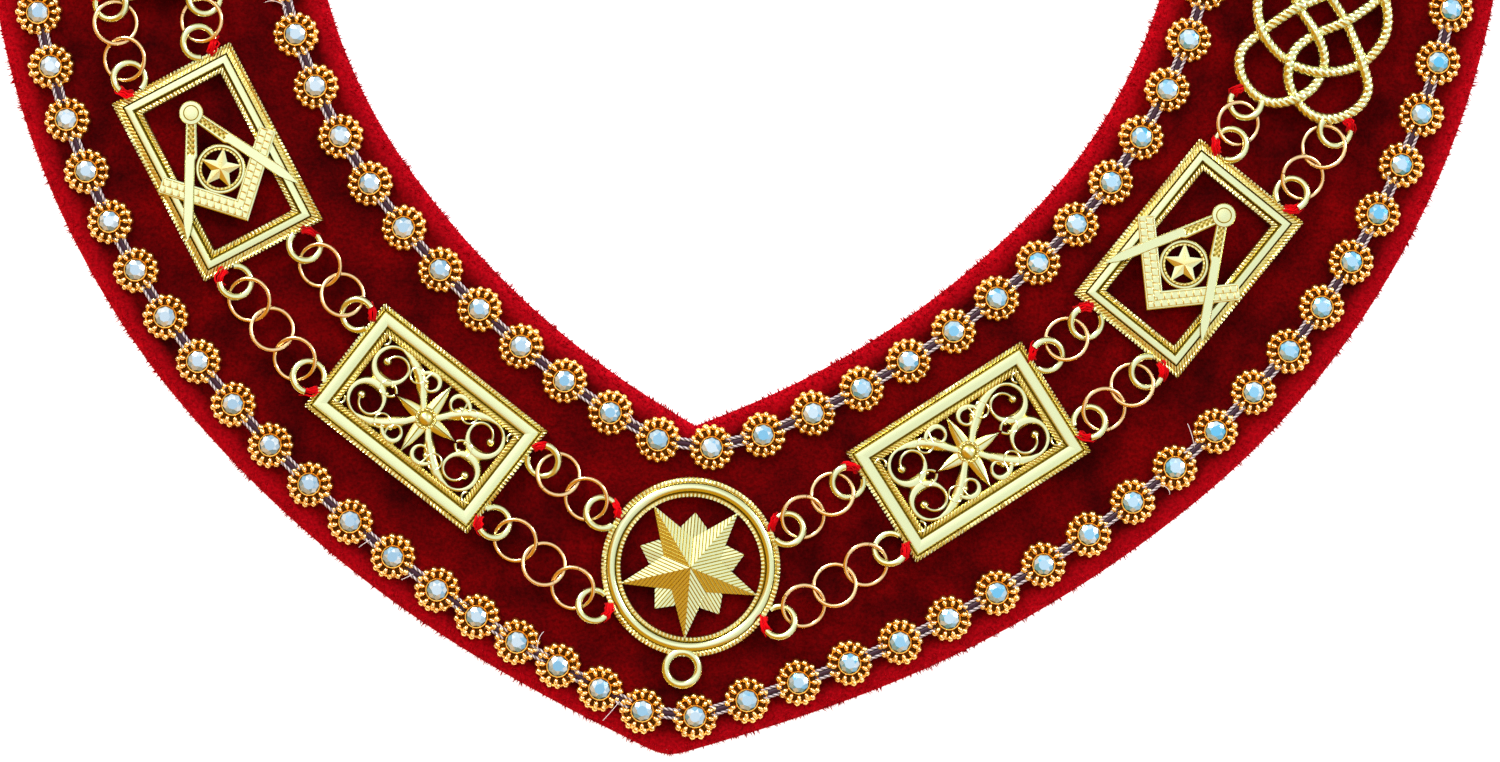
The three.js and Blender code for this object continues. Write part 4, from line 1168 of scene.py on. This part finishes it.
# Square and compasses plates
#
# Two plates of the traditional square and compasses, laid over a rectangular moulded frame. The
# square is engraved like brickwork, the compasses' arms carry a grained panel, and a roundel with
# a small star sits between them.

TOOLS_PLATE = (60, 40)
TOOLS_FRAME_WIDTH = 7.0
# Tones paint shade in the grooves and highlights on the heights.
TOOLS_MOULDING = [
    (0, 0, 0, 0.2), (0, 1.5, 0.3, 0.7), (0.04, 2.0, 0.5, 1), (0.13, 2.1, 0.5, 0.95),
    (0.18, 2.0, 0.3, 0.6), (0.26, 2.2, 0.3, 0.75), (0.35, 2.4, 0.2, 0.75), (0.375, 1.9, 0, 0),
    (0.39, 2.4, 0, 0.5), (0.42, 2.85, 0, 1), (0.45, 2.9, 0, 1), (0.66, 2.9, 0, 1), (0.68, 2.7, 0, 0.8),
    (0.695, 1.8, 0, 0), (0.73, 1.7, 0, 0), (0.76, 1.8, 0.4, 0.7), (0.84, 2.0, 0.5, 1),
    (0.94, 2.0, 0.4, 0.95), (1, 1.5, 0.1, 0.5), (1, 0, 0, 0.2),
]
TOOL_THICKNESS = 1.1
SQUARE_CORNER = 20
SQUARE_ARM_WIDTH = 5.2
SQUARE_ARM_LENGTH = 28
BRICK = 2.2
COMPASS_HEAD_Y = 16.4
COMPASS_HEAD_R = 3.6
COMPASS_POINT = (18.6, -17.0)
COMPASS_LEG_WIDTH = 3.0
COMPASS_ARM_WIDTH = 4.2
COMPASS_ARM_LENGTH = 13
COMPASS_TIP_LENGTH = 5
COMPASS_GRAIN = 1.7
ROUNDEL_Y = -2.4
ROUNDEL_R = 7.4
ROUNDEL_WIDTH = 1.9
ROUNDEL_STAR_R = ROUNDEL_R - ROUNDEL_WIDTH / 2
ROUNDEL_STAR_INNER_R = 2.8
ROUNDEL_STAR_LEVELS = (0.0, 0.7, 0.8, 1.35)
square_bottom = FRAME_HEIGHT - TOOL_THICKNESS / 2
compass_bottom = square_bottom + TOOL_THICKNESS - 0.275


def square():
    """The square, its corner down: both arms as one strip, engraved with an edge line, a middle
    line and staggered cross lines, which make bricks."""
    step = BRICK / 8
    along = np.arange(round(SQUARE_ARM_LENGTH / step) + 1) * step
    across = np.array([
        0, 0, 0.2, 0.45, 0.6, 0.75, 1.6, 2.45, 2.6, 2.75, 3.6, 4.45, 4.6, 4.75,
        SQUARE_ARM_WIDTH - 0.2, SQUARE_ARM_WIDTH, SQUARE_ARM_WIDTH,
    ])
    lines = np.isin(across, [0.6, 2.6, 4.6])
    brick = np.round(along / step).astype(int) % 8
    lower, upper = (across > 0.6) & (across < 2.6), (across > 2.6) & (across < 4.6)
    cross = (brick == 0)[:, None] & lower | (brick == 4)[:, None] & upper
    cut = (lines | cross) & (along < SQUARE_ARM_LENGTH - step)[:, None]
    up = square_bottom + TOOL_THICKNESS - 0.12 * cut
    up[:, [1, -2]] -= 0.15
    up[:, [0, -1]] = square_bottom
    # Painted shade in the engraved lines and down the sides, a painted highlight on the bevels.
    tone = np.where(cut, 0.5, 0.95)
    tone[:, [2, 3, 13, 14]] = 1.0
    tone[:, [0, -1]] = 0.1
    corner = np.array([0, -SQUARE_CORNER])
    arms = []
    for side in (1, -1):
        way, inward = np.array([side, 1]) / np.sqrt(2), np.array([-side, 1]) / np.sqrt(2)
        start = np.maximum(across, along[:, None])
        flat = corner + start[..., None] * way + across[:, None] * inward
        arms.append(np.concatenate([flat, up[..., None]], -1))
    both = np.concatenate([arms[0][::-1], arms[1][1:]])
    return capped(both, np.concatenate([tone[::-1], tone[1:]]))


def compass_leg(side):
    """One leg from the head to its tip. Its arm widens on the inner side and holds a grained panel
    between raised edges, and below that it is a plain bevelled bar."""
    to_point = (COMPASS_POINT[0], COMPASS_HEAD_Y - COMPASS_POINT[1])
    reach, lean = np.hypot(*to_point), np.arctan2(*to_point)
    arm_end = COMPASS_ARM_LENGTH + 1.2
    along = np.append(np.linspace(0, COMPASS_ARM_LENGTH, 46), np.linspace(arm_end, reach - 0.2, 14))
    half_widths = np.array([COMPASS_LEG_WIDTH, COMPASS_ARM_WIDTH, COMPASS_LEG_WIDTH]) / 2
    inner = np.interp(along, [0, COMPASS_ARM_LENGTH, arm_end], half_widths)
    taper = np.clip((reach - along) / COMPASS_TIP_LENGTH, 0.08, 1)
    share = np.array([-1, -1, -0.82, -0.62, -0.5, -0.25, 0, 0.25, 0.5, 0.62, 0.82, 1, 1])
    panel = ((along > 2.5) & (along < COMPASS_ARM_LENGTH - 0.4))[:, None] & (np.abs(share) < 0.6)
    grain = 0.5 + 0.5 * np.sin(2 * np.pi * along / COMPASS_GRAIN)[:, None] * np.cos(2.6 * np.pi * share)
    up = np.full((len(along), len(share)), compass_bottom + TOOL_THICKNESS)
    up = np.where(panel, up - 0.45 + 0.4 * grain, up)
    up[:, [1, -2]] -= 0.3
    up[:, [0, -1]] = compass_bottom
    # Painted shade in the grain's hollows and down the sides.
    tone = np.where(panel, grain ** 1.5, 1.0)
    tone[:, [0, -1]] = 0.1
    across = share * np.where(share < 0, COMPASS_LEG_WIDTH / 2, inner[:, None]) * taper[:, None]
    x, y = turned(-side * across, -along[:, None], side * lean)
    return capped(np.stack([x, y + COMPASS_HEAD_Y, up], -1), tone)


def compasses_plate():
    """The whole plate about its own middle."""
    # Tones paint shade in the head's groove and a highlight on its rims and top.
    head = lathe([
        (0, 0, 0), (COMPASS_HEAD_R, 0, 0.1), (COMPASS_HEAD_R, 1.1, 0.5), (COMPASS_HEAD_R - 0.25, 1.4, 1),
        (2.4, 1.45, 1), (2.2, 1.2, 0.1), (2.0, 1.45, 0.9), (0, 1.6, 1),
    ], 32)
    # Tones paint shade in the ring's groove and highlights on its heights.
    ring = [
        (0, 0, 0, 0.1), (0, 0.85, 0, 0.4), (0.15, 1.1, 0, 1), (0.4, 1.1, 0, 1), (0.5, 0.8, 0, 0.1),
        (0.6, 0.95, 0.2, 0.8), (0.85, 0.95, 0.2, 0.8), (1, 0.7, 0, 0.3), (1, 0, 0, 0.1),
    ]
    return together([
        rectangular_frame(*TOOLS_PLATE, TOOLS_FRAME_WIDTH, TOOLS_MOULDING),
        square(),
        compass_leg(-1),
        compass_leg(1),
        shifted(head, y=COMPASS_HEAD_Y, z=compass_bottom),
        shifted(round_frame(2 * ROUNDEL_R, ROUNDEL_WIDTH, ring), y=ROUNDEL_Y, z=square_bottom),
    ])


roundel_star = star(ROUNDEL_STAR_R, ROUNDEL_STAR_INNER_R, ROUNDEL_STAR_LEVELS, 0.0)
roundel_star = shifted(roundel_star, y=ROUNDEL_Y, z=square_bottom)
for side_name in ("left", "right"):
    gilt_plate(f"compasses_plate_{side_name}", compasses_plate())
    seat = seats[f"compasses_plate_{side_name}"]
    piece(f"roundel_star_{side_name}", on_plate(roundel_star, seat), PALE_GILT, smooth=6)

# Rope plates
#
# Two plates cast as interlaced rope of three plies: two long loops, each the other's mirror image,
# woven with an oval ring. Only one shows whole enough in the picture to see how they cross.

ROPE_PLATE = (63, 43)
ROPE_D = 3.5
ROPE_LAY = 5.6
ROPE_WEAVE = 0.75
ROPE_BED = 0.45
ROPE_STEP = 0.36
# A loop's upper half: x and y as shares of the plate's half width and length, and the weave, 1 where
# it passes over and -1 where it passes under.
ROPE_LOOP = np.array([
    (-0.375, 0, 1), (0, 0.21, -1), (0.215, 0.4, 0), (0.26, 0.55, 1), (0.2, 0.73, 0), (0, 0.89, -1),
    (-0.315, 1, 0), (-0.65, 0.965, 0), (-0.925, 0.8, 0), (-1, 0.6, 0), (-0.79, 0.35, 1), (-0.6, 0.175, 0),
])
ROPE_OVAL = np.array([(0, 0), (37.5, 1), (75, -1), (105, 1), (142.5, -1)])
ROPE_OVAL_LENGTH = 0.58


def closed_curve(points, spacing):
    """A smooth closed curve through points, resampled evenly. Between two points it is a cubic,
    whose slopes weigh a chord by the square root of its length, so that it never loops."""
    after, before = np.roll(points, -1, 0), np.roll(points, 1, 0)
    step = np.sqrt(np.linalg.norm(after - points, axis=1))[:, None]
    last = np.roll(step, 1, 0)
    slope = (points - before) / last - (after - before) / (last + step) + (after - points) / step
    start, end = (slope * step)[:, None], (np.roll(slope, -1, 0) * step)[:, None]
    t = np.linspace(0, 1, 40, endpoint=False)[:, None]
    curve = ((2 * t ** 3 - 3 * t ** 2 + 1) * points[:, None] + (t ** 3 - 2 * t ** 2 + t) * start
             + (3 * t ** 2 - 2 * t ** 3) * after[:, None] + (t ** 3 - t ** 2) * end).reshape(-1, 3)
    curve = np.concatenate([curve, curve[:1]])
    reach = distance_along(curve)
    even = np.linspace(0, reach[-1], round(reach[-1] / spacing), endpoint=False)
    return np.stack([np.interp(even, reach, curve[:, k]) for k in range(3)], -1), reach[-1]


def rope_plate():
    """The whole plate about its own middle."""
    length, width = ROPE_PLATE
    half = np.array([width - ROPE_D, length - ROPE_D]) / 2
    loop = np.concatenate([ROPE_LOOP, ROPE_LOOP * [1, -1, -1]])
    angle, weave = np.radians(ROPE_OVAL[:, 0]), ROPE_OVAL[:, 1]
    oval = np.stack([np.cos(angle), ROPE_OVAL_LENGTH * np.sin(angle), weave], -1)
    oval = np.concatenate([oval, oval * [-1, -1, 1]])
    parts = []
    for controls in (loop, loop * [-1, 1, -1], oval):
        up = ROPE_D * ROPE_BED + (1 + controls[:, 2]) * ROPE_WEAVE
        path, whole = closed_curve(np.column_stack([controls[:, :2] * half, up]), ROPE_STEP)
        lay = whole / round(whole / ROPE_LAY)
        wrapped = np.concatenate([path[-2:], path, path[:2]])
        surface, ply = rope(wrapped, ROPE_D / 2, lay, 3, sides=24, bulge=0.22)
        # Painted light: shade between the plies and where a rope dips under, lighter on the higher parts.
        high = (surface[..., 2] / (ROPE_D + 2 * ROPE_WEAVE)).clip(0, 1)
        tone = np.minimum(3.5 * ply, 1) * (0.55 + 0.55 * high)
        parts.append(skin(surface[2:-2], tone[2:-2], close_rows=True, close_columns=True))
    return together(parts)


for side_name in ("left", "right"):
    gilt_plate(f"rope_plate_{side_name}", rope_plate())
